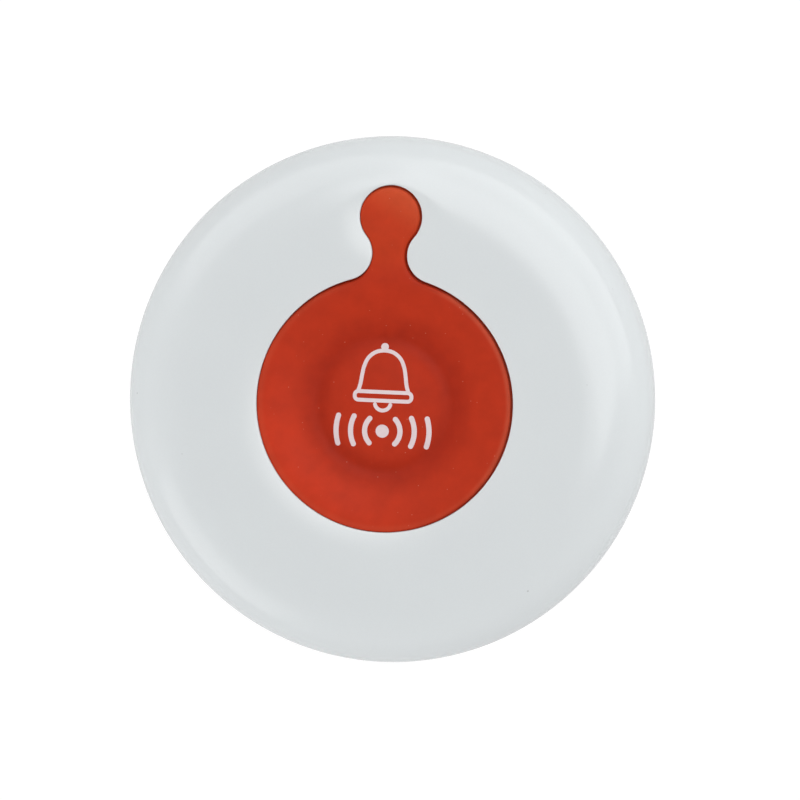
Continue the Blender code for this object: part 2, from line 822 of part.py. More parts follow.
def make_antenna(copper):
    # A helix of wire lying along X near the front edge of the board
    curve = bpy.data.curves.new("antenna_coil", "CURVE")
    curve.dimensions = "3D"
    curve.bevel_depth = antenna_wire
    curve.bevel_resolution = 1
    curve.use_fill_caps = True
    points_per_turn = 8
    count = antenna_turns * points_per_turn + 1
    middle_z = part_bottom + antenna_wire + antenna_radius
    spline = curve.splines.new("POLY")
    spline.points.add(count - 1)
    for i in range(count):
        angle = math.tau * i / points_per_turn
        x = antenna_length * (i / (count - 1) - 0.5)
        y = antenna_inset - board_radius + antenna_radius * math.sin(angle)
        spline.points[i].co = (x, y, middle_z - antenna_radius * math.cos(angle), 1)
    curve.materials.append(copper)
    coil = bpy.data.objects.new("antenna_coil", curve)
    bpy.context.scene.collection.objects.link(coil)


def make_battery(steel, nickel):
    can_top = cell_top - cell_cap_height
    turned("coin_cell", [
        (0, cell_bottom), (cell_radius - cell_edge, cell_bottom), (cell_radius, cell_bottom + cell_edge),
        (cell_radius, can_top - cell_edge), (cell_radius - cell_edge, can_top), (cell_cap_radius, can_top),
        (cell_cap_radius - cell_edge, cell_top), (0, cell_top),
    ], steel)

    pad_top = board_bottom - seat_gap
    pad_bottom = pad_top - contact_sheet
    half = negative_length / 2
    wide = half * bow_wide_share
    flat = half * bow_flat_share
    bow_bottom = pad_bottom - negative_bow
    bow = [(wide, pad_bottom), (flat, bow_bottom), (-flat, bow_bottom), (-wide, pad_bottom)]
    upper = [(x, z + contact_sheet) for x, z in bow[::-1]]
    section = [(half, pad_bottom)] + bow + [(-half, pad_bottom), (-half, pad_top)] + upper
    section += [(half, pad_top)]
    strip("battery_negative_contact", section, contact_width, (0, 0), nickel)

    tip = lug_top + seat_gap
    section = [
        (0, tip), (contact_sheet, tip), (contact_sheet, pad_bottom), (positive_foot, pad_bottom),
        (positive_foot, pad_top), (0, pad_top),
    ]
    place = (0, cell_radius + seat_gap)
    strip("battery_positive_contact", section, contact_width, place, nickel, math.pi / 2)


def make_battery_door(plastic, rubber):
    door = turned("battery_door", [
        (0, base_z), (door_radius, base_z), (door_radius, door_top), (door_spigot, door_top),
        (door_spigot, lug_top), (door_wall_inner, lug_top), (door_wall_inner, door_top), (0, door_top),
    ], plastic)
    lugs = prism("door_lugs", [
        ring_sector(door_spigot - door_wall / 2, lug_radius, a, door_lug_angle) for a in door_lug_angles
    ], lug_bottom, lug_top)
    fuse(door, lugs)
    half = coin_slot_length / 2 - coin_slot_width / 2
    coin_slot = prism("coin_slot", [slot(coin_slot_width / 2, -half, half, 0)],
                      base_z - cut_overrun, base_z + coin_slot_depth)
    cut(door, coin_slot)
    make_ring("battery_door_seal", door_spigot + bore_gap + door_seal_section,
              (door_top + pocket_top) / 2, door_seal_section, rubber)


def make_ring(name, radius, height, section, material):
    turned(name, arc((radius, height), section, 0, math.tau, ring_sides), material)


def make_feet(rubber):
    top = base_z + foot_seat_depth - seat_gap
    for number, angle in enumerate(foot_angles, 1):
        turned(f"rubber_foot_{number}", [
            (0, 0), (foot_radius - foot_edge, 0), (foot_radius, foot_edge), (foot_radius, top), (0, top),
        ], rubber, steps=small_steps, centres=[polar(foot_circle, angle)])


def main():
    clear_scene()
    white = finish("white_abs", (0.68, 0.70, 0.71), 0.22)
    red = finish("red_silicone", (0.45, 0.036, 0.016), 0.55)
    black = finish("black_plastic", (0.02, 0.02, 0.022), 0.5)
    steel = finish("steel", (0.62, 0.62, 0.64), 0.3, 1.0)
    rubber = finish("dark_rubber", (0.03, 0.03, 0.03), 0.8)
    board_green = finish("board_resist", (0.02, 0.14, 0.05), 0.4)
    epoxy = finish("chip_epoxy", (0.02, 0.02, 0.02), 0.6)
    ceramic = finish("capacitor_ceramic", (0.45, 0.30, 0.16), 0.6)
    tin = finish("tin", (0.7, 0.7, 0.72), 0.35, 1.0)
    copper = finish("enamelled_copper", (0.55, 0.22, 0.09), 0.3, 1.0)
    nickel = finish("nickel_plate", (0.7, 0.68, 0.64), 0.25, 1.0)
    clear = finish("clear_acrylic", (0.85, 0.85, 0.85), 0.1)
    led_plastic = finish("led_plastic", (0.8, 0.8, 0.75), 0.4)

    envelope = cover_cavity()
    make_top_cover(white)
    make_bottom_cover(white)
    make_silicone_key(red)
    make_silicone_web(red)
    make_silicone_neck(red)
    make_silicone_frame(red, envelope)
    make_retainer(black, envelope)
    make_board(board_green)
    make_screws(steel)
    make_switch(black, steel, black)
    make_indicator(led_plastic, clear)
    make_electronics(epoxy, ceramic, steel, tin)
    make_antenna(copper)
    make_battery(steel, nickel)
    make_battery_door(white, rubber)
    make_ring("housing_seal", seal_radius, seal_z, housing_seal_section, rubber)
    make_feet(rubber)


main()
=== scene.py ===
import math

import bmesh
import bpy
from mathutils import Matrix, Vector


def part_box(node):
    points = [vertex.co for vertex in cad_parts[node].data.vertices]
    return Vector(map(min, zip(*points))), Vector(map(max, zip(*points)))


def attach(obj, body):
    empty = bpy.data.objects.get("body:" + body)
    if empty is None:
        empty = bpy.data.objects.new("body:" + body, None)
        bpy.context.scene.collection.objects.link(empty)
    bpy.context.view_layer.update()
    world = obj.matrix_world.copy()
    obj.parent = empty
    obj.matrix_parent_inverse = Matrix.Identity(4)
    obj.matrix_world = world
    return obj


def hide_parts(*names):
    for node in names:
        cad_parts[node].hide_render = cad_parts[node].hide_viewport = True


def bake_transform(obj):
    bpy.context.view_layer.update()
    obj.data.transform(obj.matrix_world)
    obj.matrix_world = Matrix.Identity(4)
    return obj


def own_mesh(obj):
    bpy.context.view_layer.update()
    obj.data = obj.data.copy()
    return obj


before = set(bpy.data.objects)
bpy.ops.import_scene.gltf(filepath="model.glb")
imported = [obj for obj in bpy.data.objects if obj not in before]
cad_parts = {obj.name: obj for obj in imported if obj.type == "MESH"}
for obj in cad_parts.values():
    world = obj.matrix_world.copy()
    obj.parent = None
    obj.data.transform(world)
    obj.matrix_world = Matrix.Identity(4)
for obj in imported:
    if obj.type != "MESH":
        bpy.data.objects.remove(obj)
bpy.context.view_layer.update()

print("frame loaded:", len(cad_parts), "nodes")

mm = 0.001

# The outline of press key, neck and tab, in millimetres
keyhole = {"keyRadius": 14.15, "tabRadius": 3.2, "tabY": 21.0, "fillet": 3.38,
           "keySteps": 224, "filletSteps": 28, "tabSteps": 76}


# Colours and nodes

def hexColour(code):
    # sRGB hex to the linear colour that the shaders use
    parts = [int(code[i:i + 2], 16) / 255 for i in (1, 3, 5)]
    linear = [c / 12.92 if c <= 0.04045 else ((c + 0.055) / 1.055) ** 2.4 for c in parts]
    return (*linear, 1.0)


def addNode(tree, kind, inputs=(), **settings):
    # Inputs go by name or number, or in order. Each is a plain value, a hex colour, a node, whose first
    # output is linked, or a pair (node, output)
    node = tree.nodes.new("ShaderNode" + kind)
    for name, value in settings.items():
        setattr(node, name, value)
    for name, value in inputs.items() if isinstance(inputs, dict) else enumerate(inputs):
        if isinstance(value, bpy.types.Node):
            value = (value, 0)
        if isinstance(value, tuple) and isinstance(value[0], bpy.types.Node):
            tree.links.new(value[0].outputs[value[1]], node.inputs[name])
        else:
            node.inputs[name].default_value = hexColour(value) if isinstance(value, str) else value
    return node


def newMaterial(paint):
    # The material is named for the function that makes its nodes
    material = bpy.data.materials.new(paint.__name__)
    material.use_nodes = True
    tree = material.node_tree
    tree.nodes.clear()
    addNode(tree, "OutputMaterial", {"Surface": paint(tree)})
    return material


# Materials. Sizes are in millimetres, and the patterns lie in the object's own space

noiseLow, noiseHigh = 0.3, 0.7  # nearly all of a noise lies between these

whiteAbs = {"colour": "#DADFE0", "shade": "#D4D8DA", "cloud": 9, "dots": 0.2, "dotShare": 0.55,
            "speck": "#8B8E8E", "speckCell": 5.2, "speckEdge": (0.012, 0.028), "speckShare": 0.5,
            "peel": 2.2, "peelDepth": 0.1, "grain": 0.35, "grainDepth": 0.02, "roughness": (0.15, 0.19)}


def mouldedAbs(tree):
    # Moulded white ABS: semi-gloss, with the soft orange peel of a polished mould and a few dark specks
    place = (addNode(tree, "TexCoord"), "Object")
    cloud = addNode(tree, "TexNoise", {"Vector": place, "Scale": 1 / (whiteAbs["cloud"] * mm), "Detail": 3.0})
    dots = addNode(tree, "TexNoise", {"Vector": place, "Scale": 1 / (whiteAbs["dots"] * mm)})
    share = addNode(tree, "Mix", {0: whiteAbs["dotShare"], 2: cloud, 3: dots})
    plain = addNode(tree, "Mix", {0: share, 6: whiteAbs["shade"], 7: whiteAbs["colour"]}, data_type="RGBA")
    cell = addNode(tree, "TexVoronoi", {"Vector": place, "Scale": 1 / (whiteAbs["speckCell"] * mm)})
    spot = addNode(tree, "MapRange", [(cell, "Distance"), *whiteAbs["speckEdge"],
                                      whiteAbs["speckShare"], 0.0])
    tint = addNode(tree, "Mix", {0: spot, 6: (plain, 2), 7: whiteAbs["speck"]}, data_type="RGBA")
    gloss = addNode(tree, "MapRange", [cloud, noiseLow, noiseHigh, *whiteAbs["roughness"]])
    peel = addNode(tree, "TexNoise", {"Vector": place, "Scale": 1 / (whiteAbs["peel"] * mm), "Detail": 1.0})
    grain = addNode(tree, "TexNoise", {"Vector": place, "Scale": 1 / (whiteAbs["grain"] * mm)})
    wave = addNode(tree, "Bump", {"Strength": 0.05, "Distance": whiteAbs["peelDepth"] * mm, "Height": peel})
    fine = addNode(tree, "Bump", {"Strength": 0.04, "Distance": whiteAbs["grainDepth"] * mm, "Height": grain,
                                  "Normal": wave})
    return addNode(tree, "BsdfPrincipled", {"Base Color": (tint, 2), "Roughness": gloss, "IOR": 1.53,
                                            "Normal": fine})


# Painted light and shade among these colours: the ring colour is painted shade in the groove round the
# middle, the colour towards the lower left is painted light, the tab's top colour is painted light on its
# upper side, and the edge colour is a painted highlight on the key's edge
redSilicone = {"colour": "#B63013", "paintedLight": "#C53518", "ring": "#A6270D", "centre": "#B62F13",
               "tab": "#BE3817", "tabTop": "#CA4B28", "edge": "#D0684A", "dust": "#D79A8A",
               # From the middle of the key or tab, or along a direction, in mm
               "ringInside": (5.3, 7.8), "ringOutside": (7.5, 11.0), "tabReach": (7.5, 3.5),
               "paintedLightReach": (1, 15), "topReach": (-1.0, 3.0), "edgeReach": (13.45, 14.0),
               "edgeTop": (13.3, 12.0), "edgeSide": (3, 11), "edgeLean": 1.5, "edgeShare": (0.1, 0.3),
               "paintedLightTowards": (-0.77, -0.64, 0), "topTowards": (0.5, 0.87, 0),
               "cloud": 5, "cloudShare": (-0.15, 0.15), "mottle": 2.4, "mottleLevel": (0.92, 1.07),
               "speck": 0.75, "speckEdge": (0.05, 0.1), "speckShare": 0.35, "barrenCells": 0.62,
               "skin": 0.18, "skinDepth": 0.03, "roughness": (0.55, 0.66)}


def mouldedSilicone(tree):
    # Moulded red silicone: matt, dusty, paler over the light pipe; painted shade in the groove round the
    # middle, painted light towards the lower left and on the tab's upper side, a painted highlight on the
    # key's edge
    place = (addNode(tree, "TexCoord"), "Object")
    axes = addNode(tree, "SeparateXYZ", [place])
    flat = addNode(tree, "VectorMath", [place, (1, 1, 0)], operation="MULTIPLY")
    tabCentre = (0, keyhole["tabY"] * mm, 0)
    inTab = addNode(tree, "VectorMath", [flat, tabCentre], operation="SUBTRACT")
    fromKey = addNode(tree, "VectorMath", [flat], operation="LENGTH")
    fromTab = addNode(tree, "VectorMath", [flat, tabCentre], operation="DISTANCE")
    towardsPaintedLight = addNode(tree, "VectorMath", [flat, redSilicone["paintedLightTowards"]], operation="DOT_PRODUCT")
    upTab = addNode(tree, "VectorMath", [inTab, redSilicone["topTowards"]], operation="DOT_PRODUCT")
    soft = {}
    for reach, source in (("ringInside", (fromKey, "Value")), ("ringOutside", (fromKey, "Value")),
                          ("edgeReach", (fromKey, "Value")), ("tabReach", (fromTab, "Value")),
                          ("paintedLightReach", (towardsPaintedLight, "Value")), ("topReach", (upTab, "Value")),
                          ("edgeTop", (axes, "Y"))):
        start, end = redSilicone[reach]
        soft[reach] = addNode(tree, "MapRange", [source, start * mm, end * mm],
                              interpolation_type="SMOOTHSTEP")
    cloud = addNode(tree, "TexNoise", {"Vector": place, "Scale": 1 / (redSilicone["cloud"] * mm),
                                       "Detail": 4.0})
    cloudy = addNode(tree, "MapRange", [cloud, noiseLow, noiseHigh, *redSilicone["cloudShare"]])
    # Painted shade: a darker band round the groove in the middle, with a cloudy outer edge
    outer = addNode(tree, "Math", [soft["ringOutside"], cloudy], operation="ADD", use_clamp=True)
    inner = addNode(tree, "Mix", {0: soft["ringInside"], 6: redSilicone["centre"], 7: redSilicone["ring"]},
                    data_type="RGBA")
    # Painted light: the outer red gets lighter towards the lower left
    plain = addNode(tree, "Mix", {0: soft["paintedLightReach"], 6: redSilicone["colour"], 7: redSilicone["paintedLight"]},
                    data_type="RGBA")
    base = addNode(tree, "Mix", {0: outer, 6: (inner, 2), 7: (plain, 2)}, data_type="RGBA")
    # Painted highlight on the key's edge, stronger towards the upper right and faded at the neck
    aside = addNode(tree, "Math", [(axes, "X"), redSilicone["edgeLean"], (axes, "Y")],
                    operation="MULTIPLY_ADD")
    sideways = addNode(tree, "MapRange", [aside, *(side * mm for side in redSilicone["edgeSide"]),
                                          *redSilicone["edgeShare"]])
    rim = addNode(tree, "Math", [soft["edgeReach"], soft["edgeTop"]], operation="MULTIPLY")
    edgeHighlight = addNode(tree, "Math", [rim, sideways], operation="MULTIPLY")
    body = addNode(tree, "Mix", {0: edgeHighlight, 6: (base, 2), 7: redSilicone["edge"]}, data_type="RGBA")
    # Painted light: the tab lighter on its upper side
    tab = addNode(tree, "Mix", {0: soft["topReach"], 6: redSilicone["tab"], 7: redSilicone["tabTop"]},
                  data_type="RGBA")
    even = addNode(tree, "Mix", {0: soft["tabReach"], 6: (body, 2), 7: (tab, 2)}, data_type="RGBA")
    patchy = addNode(tree, "TexNoise", {"Vector": place, "Scale": 1 / (redSilicone["mottle"] * mm),
                                        "Detail": 5.0, "Roughness": 0.6})
    level = addNode(tree, "MapRange", [patchy, noiseLow, noiseHigh, *redSilicone["mottleLevel"]])
    tint = addNode(tree, "HueSaturation", {"Value": level, "Color": (even, 2)})
    cell = addNode(tree, "TexVoronoi", {"Vector": place, "Scale": 1 / (redSilicone["speck"] * mm)})
    spot = addNode(tree, "MapRange", [(cell, "Distance"), *redSilicone["speckEdge"], 1.0, 0.0])
    chosen = addNode(tree, "Math", [(cell, "Color"), redSilicone["barrenCells"]], operation="GREATER_THAN")
    speck = addNode(tree, "Math", [spot, chosen], operation="MULTIPLY")
    faint = addNode(tree, "Math", [speck, redSilicone["speckShare"]], operation="MULTIPLY")
    dusty = addNode(tree, "Mix", {0: faint, 6: tint, 7: redSilicone["dust"]}, data_type="RGBA")
    skin = addNode(tree, "TexNoise", {"Vector": place, "Scale": 1 / (redSilicone["skin"] * mm)})
    gloss = addNode(tree, "MapRange", [cloud, noiseLow, noiseHigh, *redSilicone["roughness"]])
    fine = addNode(tree, "Bump", {"Strength": 0.12, "Distance": redSilicone["skinDepth"] * mm,
                                  "Height": skin})
    return addNode(tree, "BsdfPrincipled", {"Base Color": (dusty, 2), "Roughness": gloss, "IOR": 1.42,
                                            "Specular IOR Level": 0.14, "Normal": fine})


whiteInk = {"colour": "#E6D4D6", "thin": "#DAC7CA", "patch": 0.5, "roughness": 0.6}


def padPrintInk(tree):
    # Pad-printed white ink: flat, a little thin where the pad left less of it
    place = (addNode(tree, "TexCoord"), "Object")
    patch = addNode(tree, "TexNoise", {"Vector": place, "Scale": 1 / (whiteInk["patch"] * mm), "Detail": 3.0})
    tint = addNode(tree, "Mix", {0: patch, 6: whiteInk["thin"], 7: whiteInk["colour"]}, data_type="RGBA")
    return addNode(tree, "BsdfPrincipled", {"Base Color": (tint, 2), "Roughness": whiteInk["roughness"],
                                            "IOR": 1.48})


darkRubber = {"colour": "#1F1F20", "bloom": "#343536", "patch": 2, "grain": 0.15, "grainDepth": 0.03,
              "roughness": 0.78}


def mouldedRubber(tree):
    # Moulded dark rubber: matt, with a fine even grain and a trace of grey bloom
    place = (addNode(tree, "TexCoord"), "Object")
    bloom = addNode(tree, "TexNoise", {"Vector": place, "Scale": 1 / (darkRubber["patch"] * mm),
                                       "Detail": 4.0})
    tint = addNode(tree, "Mix", {0: bloom, 6: darkRubber["colour"], 7: darkRubber["bloom"]}, data_type="RGBA")
    grain = addNode(tree, "TexNoise", {"Vector": place, "Scale": 1 / (darkRubber["grain"] * mm)})
    fine = addNode(tree, "Bump", {"Strength": 0.25, "Distance": darkRubber["grainDepth"] * mm,
                                  "Height": grain})
    return addNode(tree, "BsdfPrincipled", {"Base Color": (tint, 2), "Roughness": darkRubber["roughness"],
                                            "IOR": 1.52, "Normal": fine})


blackNylon = {"colour": "#1B1B1D", "pale": "#2A2A2C", "patch": 3, "grain": 0.12, "grainDepth": 0.02,
              "roughness": 0.55}


def mouldedBlackPlastic(tree):
    # Moulded black nylon: dull, with a fine spark-eroded texture
    place = (addNode(tree, "TexCoord"), "Object")
    cloud = addNode(tree, "TexNoise", {"Vector": place, "Scale": 1 / (blackNylon["patch"] * mm)})
    tint = addNode(tree, "Mix", {0: cloud, 6: blackNylon["colour"], 7: blackNylon["pale"]}, data_type="RGBA")
    grain = addNode(tree, "TexNoise", {"Vector": place, "Scale": 1 / (blackNylon["grain"] * mm)})
    fine = addNode(tree, "Bump", {"Strength": 0.2, "Distance": blackNylon["grainDepth"] * mm,
                                  "Height": grain})
    return addNode(tree, "BsdfPrincipled", {"Base Color": (tint, 2), "Roughness": blackNylon["roughness"],
                                            "IOR": 1.53, "Normal": fine})


zincSteel = {"colour": "#C9CACC", "marks": 0.4, "markDepth": 0.02, "roughness": (0.3, 0.44)}


def platedSteel(tree):
    # Zinc-plated steel: bright, with slight tumbling marks that spread the gloss
    place = (addNode(tree, "TexCoord"), "Object")
    marks = addNode(tree, "TexNoise", {"Vector": place, "Scale": 1 / (zincSteel["marks"] * mm),
                                       "Detail": 5.0})
    gloss = addNode(tree, "MapRange", [marks, noiseLow, noiseHigh, *zincSteel["roughness"]])
    fine = addNode(tree, "Bump", {"Strength": 0.1, "Distance": zincSteel["markDepth"] * mm,
                                  "Height": marks})
    return addNode(tree, "BsdfPrincipled", {"Base Color": zincSteel["colour"], "Metallic": 1.0,
                                            "Roughness": gloss, "Normal": fine})


nickelSheet = {"colour": "#D3CFC6", "lines": 0.1, "stretch": (0.05, 1.0, 1.0), "roughness": (0.29, 0.4)}


def rolledNickel(tree):
    # Nickel-plated spring steel: fine rolling lines along the sheet
    place = (addNode(tree, "TexCoord"), "Object")
    along = addNode(tree, "Mapping", {"Vector": place, "Scale": nickelSheet["stretch"]})
    lines = addNode(tree, "TexNoise", {"Vector": along, "Scale": 1 / (nickelSheet["lines"] * mm),
                                       "Detail": 3.0})
    gloss = addNode(tree, "MapRange", [lines, noiseLow, noiseHigh, *nickelSheet["roughness"]])
    return addNode(tree, "BsdfPrincipled", {"Base Color": nickelSheet["colour"], "Metallic": 1.0,
                                            "Roughness": gloss})


tinnedCopper = {"colour": "#CDCED2", "frost": 0.25, "roughness": (0.35, 0.55)}


def dippedTin(tree):
    # Tinned copper: soft frosted silver from the solder bath
    place = (addNode(tree, "TexCoord"), "Object")
    frost = addNode(tree, "TexNoise", {"Vector": place, "Scale": 1 / (tinnedCopper["frost"] * mm),
                                       "Detail": 4.0})
    gloss = addNode(tree, "MapRange", [frost, noiseLow, noiseHigh, *tinnedCopper["roughness"]])
    return addNode(tree, "BsdfPrincipled", {"Base Color": tinnedCopper["colour"], "Metallic": 1.0,
                                            "Roughness": gloss})


greenResist = {"colour": "#0F5B2B", "pale": "#1C7A3E", "weave": 0.9, "weaveDepth": 0.02,
               "roughness": 0.3}


def solderResist(tree):
    # Green resist over woven glass laminate: glossy, with the weave faint below it
    place = (addNode(tree, "TexCoord"), "Object")
    warp, weft = (addNode(tree, "TexWave", {"Vector": place, "Scale": 1 / (greenResist["weave"] * mm)},
                          bands_direction=way) for way in "XY")
    weave = addNode(tree, "Math", [(warp, "Fac"), (weft, "Fac")], operation="MULTIPLY")
    tint = addNode(tree, "Mix", {0: weave, 6: greenResist["colour"], 7: greenResist["pale"]},
                   data_type="RGBA")
    fine = addNode(tree, "Bump", {"Strength": 0.1, "Distance": greenResist["weaveDepth"] * mm,
                                  "Height": weave})
    return addNode(tree, "BsdfPrincipled", {"Base Color": (tint, 2), "Roughness": greenResist["roughness"],
                                            "IOR": 1.55, "Normal": fine})


chipEpoxy = {"colour": "#1A1A1B", "pale": "#313133", "sand": 0.08, "sandDepth": 0.02, "roughness": 0.6}


def mouldedEpoxy(tree):
    # Moulded epoxy of a chip: near black, with a sandy grain
    place = (addNode(tree, "TexCoord"), "Object")
    sand = addNode(tree, "TexNoise", {"Vector": place, "Scale": 1 / (chipEpoxy["sand"] * mm), "Detail": 3.0})
    tint = addNode(tree, "Mix", {0: sand, 6: chipEpoxy["colour"], 7: chipEpoxy["pale"]}, data_type="RGBA")
    fine = addNode(tree, "Bump", {"Strength": 0.3, "Distance": chipEpoxy["sandDepth"] * mm, "Height": sand})
    return addNode(tree, "BsdfPrincipled", {"Base Color": (tint, 2), "Roughness": chipEpoxy["roughness"],
                                            "IOR": 1.55, "Normal": fine})


tanCeramic = {"colour": "#A57F55", "pale": "#C39B6D", "mottle": 0.3, "roughness": 0.5}


def firedCeramic(tree):
    # Fired ceramic of a chip capacitor: tan and slightly mottled
    place = (addNode(tree, "TexCoord"), "Object")
    mottle = addNode(tree, "TexNoise", {"Vector": place, "Scale": 1 / (tanCeramic["mottle"] * mm),
                                        "Detail": 4.0})
    tint = addNode(tree, "Mix", {0: mottle, 6: tanCeramic["colour"], 7: tanCeramic["pale"]}, data_type="RGBA")
    return addNode(tree, "BsdfPrincipled", {"Base Color": (tint, 2), "Roughness": tanCeramic["roughness"],
                                            "IOR": 1.6})


coilWire = {"colour": "#B56A3C", "drawn": 0.2, "roughness": (0.29, 0.38), "varnish": 0.6,
            "varnishRoughness": 0.1}


def enamelledCopper(tree):
    # Enamelled copper wire: copper under clear amber varnish
    place = (addNode(tree, "TexCoord"), "Object")
    drawn = addNode(tree, "TexNoise", {"Vector": place, "Scale": 1 / (coilWire["drawn"] * mm)})
    gloss = addNode(tree, "MapRange", [drawn, noiseLow, noiseHigh, *coilWire["roughness"]])
    return addNode(tree, "BsdfPrincipled", {"Base Color": coilWire["colour"], "Metallic": 1.0,
                                            "Roughness": gloss, "Coat Weight": coilWire["varnish"],
                                            "Coat Roughness": coilWire["varnishRoughness"]})


pipeAcrylic = {"colour": "#F2F5F4", "flow": 1.5, "flowDepth": 0.05, "clearness": 0.9, "roughness": 0.08}


def clearAcrylic(tree):
    # Clear moulded acrylic of the light pipe: glassy, with a faint flow line
    place = (addNode(tree, "TexCoord"), "Object")
    flow = addNode(tree, "TexNoise", {"Vector": place, "Scale": 1 / (pipeAcrylic["flow"] * mm)})
    fine = addNode(tree, "Bump", {"Strength": 0.05, "Distance": pipeAcrylic["flowDepth"] * mm,
                                  "Height": flow})
    return addNode(tree, "BsdfPrincipled", {"Base Color": pipeAcrylic["colour"], "IOR": 1.49,
                                            "Roughness": pipeAcrylic["roughness"], "Normal": fine,
                                            "Transmission Weight": pipeAcrylic["clearness"]})


ledPlastic = {"colour": "#DAD7C4", "pale": "#EBE8DA", "patch": 0.6, "roughness": 0.35}


def ledReflector(tree):
    # Moulded reflector body of the indicator: warm white, slightly uneven
    place = (addNode(tree, "TexCoord"), "Object")
    cloud = addNode(tree, "TexNoise", {"Vector": place, "Scale": 1 / (ledPlastic["patch"] * mm)})
    tint = addNode(tree, "Mix", {0: cloud, 6: ledPlastic["colour"], 7: ledPlastic["pale"]}, data_type="RGBA")
    return addNode(tree, "BsdfPrincipled", {"Base Color": (tint, 2), "Roughness": ledPlastic["roughness"],
                                            "IOR": 1.5})


absWhite = newMaterial(mouldedAbs)
siliconeRed = newMaterial(mouldedSilicone)
inkWhite = newMaterial(padPrintInk)
rubberDark = newMaterial(mouldedRubber)
steelBright = newMaterial(platedSteel)

# The CAD nodes that stay, each with its finish
nodeFinishes = [
    (rubberDark, ["housing_seal", "battery_door_seal"]),
    (steelBright, [
        *(f"retainer_screw_{i}" for i in (1, 2, 3, 4)), *(f"case_screw_{i}" for i in (1, 2, 3, 4)),
        *(f"board_screw_{i}" for i in (1, 2, 3)), "switch_cover", "saw_resonator", "coin_cell",
    ]),
    (newMaterial(mouldedBlackPlastic), ["key_retainer", "switch_base", "switch_plunger"]),
    (newMaterial(rolledNickel), ["battery_positive_contact", "battery_negative_contact"]),
    (newMaterial(dippedTin), ["led_resistor", *(f"switch_terminal_{i}" for i in (1, 2, 3, 4))]),
    (newMaterial(solderResist), ["circuit_board"]),
    (newMaterial(mouldedEpoxy), ["microcontroller", "rf_transistor"]),
    (newMaterial(firedCeramic), ["reservoir_capacitor"]),
    (newMaterial(enamelledCopper), ["antenna_coil"]),
    (newMaterial(clearAcrylic), ["light_pipe"]),
    (newMaterial(ledReflector), ["indicator_led"]),
]
for material, nodes in nodeFinishes:
    for node in nodes:
        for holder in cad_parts[node].material_slots:
            holder.material = material
print("materials made:", len(bpy.data.materials))


# Mesh helpers, all in millimetres until the last step

meshLook = {"mergeWithin": 0.0005, "sharpAngle": 38, "cutSharpAngle": 35, "turnStart": 0.01}


def addMesh(name, verts, faces, material, sharpAngle=meshLook["sharpAngle"]):
    mesh = bpy.data.meshes.new(name)
    mesh.from_pydata([(x * mm, y * mm, z * mm) for x, y, z in verts], [], faces)
    bm = bmesh.new()
    bm.from_mesh(mesh)
    bmesh.ops.remove_doubles(bm, verts=bm.verts, dist=meshLook["mergeWithin"] * mm)
    bmesh.ops.recalc_face_normals(bm, faces=bm.faces)
    bm.to_mesh(mesh)
    bm.free()
    mesh.shade_smooth()
    mesh.set_sharp_from_angle(angle=math.radians(sharpAngle))
    if material:
        mesh.materials.append(material)
    piece = bpy.data.objects.new(name, mesh)
    bpy.context.scene.collection.objects.link(piece)
    return piece


def skin(rows, closedRows=False, base=0):
    # Quads between rows of points, where each row is a closed loop
    faces = []
    count = len(rows[0])
    last = len(rows) if closedRows else len(rows) - 1
    for i in range(last):
        low = base + i * count
        high = base + (i + 1) % len(rows) * count
        for j in range(count):
            k = (j + 1) % count
            faces.append((low + j, low + k, high + k, high + j))
    return faces


def addSkins(name, shells, material, sharpAngle=meshLook["sharpAngle"]):
    # One piece from shells, each a pair of its rows and whether the last row joins the first
    verts, faces = [], []
    for rows, closedRows in shells:
        faces += skin(rows, closedRows, len(verts))
        verts += [p for row in rows for p in row]
    return addMesh(name, verts, faces, material, sharpAngle)


def arcPoints(centre, radius, start, end, steps, withEnd=False):
    angles = [start + (end - start) * i / steps for i in range(steps + withEnd)]
    return [(centre[0] + radius * math.cos(a), centre[1] + radius * math.sin(a)) for a in angles]


def turnedRows(profile, steps, centre=(0, 0)):
    start = meshLook["turnStart"]
    return [[(x, y, z) for x, y in arcPoints(centre, r, start, start + math.tau, steps)] for r, z in profile]


def quarter(steps, exponent=2):
    # Shares across and up along a rounded quarter, from (0, 1) to (1, 0)
    shares = []
    for i in range(steps + 1):
        t = math.pi / 2 * i / steps
        shares.append((math.sin(t) ** (2 / exponent), max(math.cos(t), 0) ** (2 / exponent)))
    return shares


def between(loop, other, share):
    # The loop moved point by point towards another one
    return [(x * (1 - share) + u * share, y * (1 - share) + v * share) for (x, y), (u, v) in zip(loop, other)]


def polarPoint(radius, degrees):
    return (radius * math.cos(math.radians(degrees)), radius * math.sin(math.radians(degrees)))


def smooth(low, high, value):
    t = min(max((value - low) / (high - low), 0), 1)
    return t * t * (3 - 2 * t)


def fade(share):
    # From 1 at share 0 to 0 at share 1, along half a cosine
    return (1 + math.cos(math.pi * share)) / 2


# The keyhole seen from above

def filletCentre():
    far = keyhole["keyRadius"] + keyhole["fillet"]
    near = keyhole["tabRadius"] + keyhole["fillet"]
    y = (keyhole["tabY"] ** 2 + far ** 2 - near ** 2) / (2 * keyhole["tabY"])
    return math.sqrt(far ** 2 - y ** 2), y


def keyholeLoop(offset):
    # The outline moved outwards, always with the same number of points
    x, y = filletCentre()
    tabY = keyhole["tabY"]
    atKey = math.atan2(y, x)
    atTab = math.atan2(y - tabY, x)
    key = keyhole["keyRadius"] + offset
    tab = keyhole["tabRadius"] + offset
    fillet = keyhole["fillet"] - offset
    loop = arcPoints((0, 0), key, math.pi - atKey, math.tau + atKey, keyhole["keySteps"])
    loop += arcPoints((x, y), fillet, math.pi + atKey, math.pi + atTab, keyhole["filletSteps"])
    loop += arcPoints((0, tabY), tab, atTab, math.pi - atTab, keyhole["tabSteps"])
    loop += arcPoints((-x, y), fillet, -atTab, -atKey, keyhole["filletSteps"])
    return loop


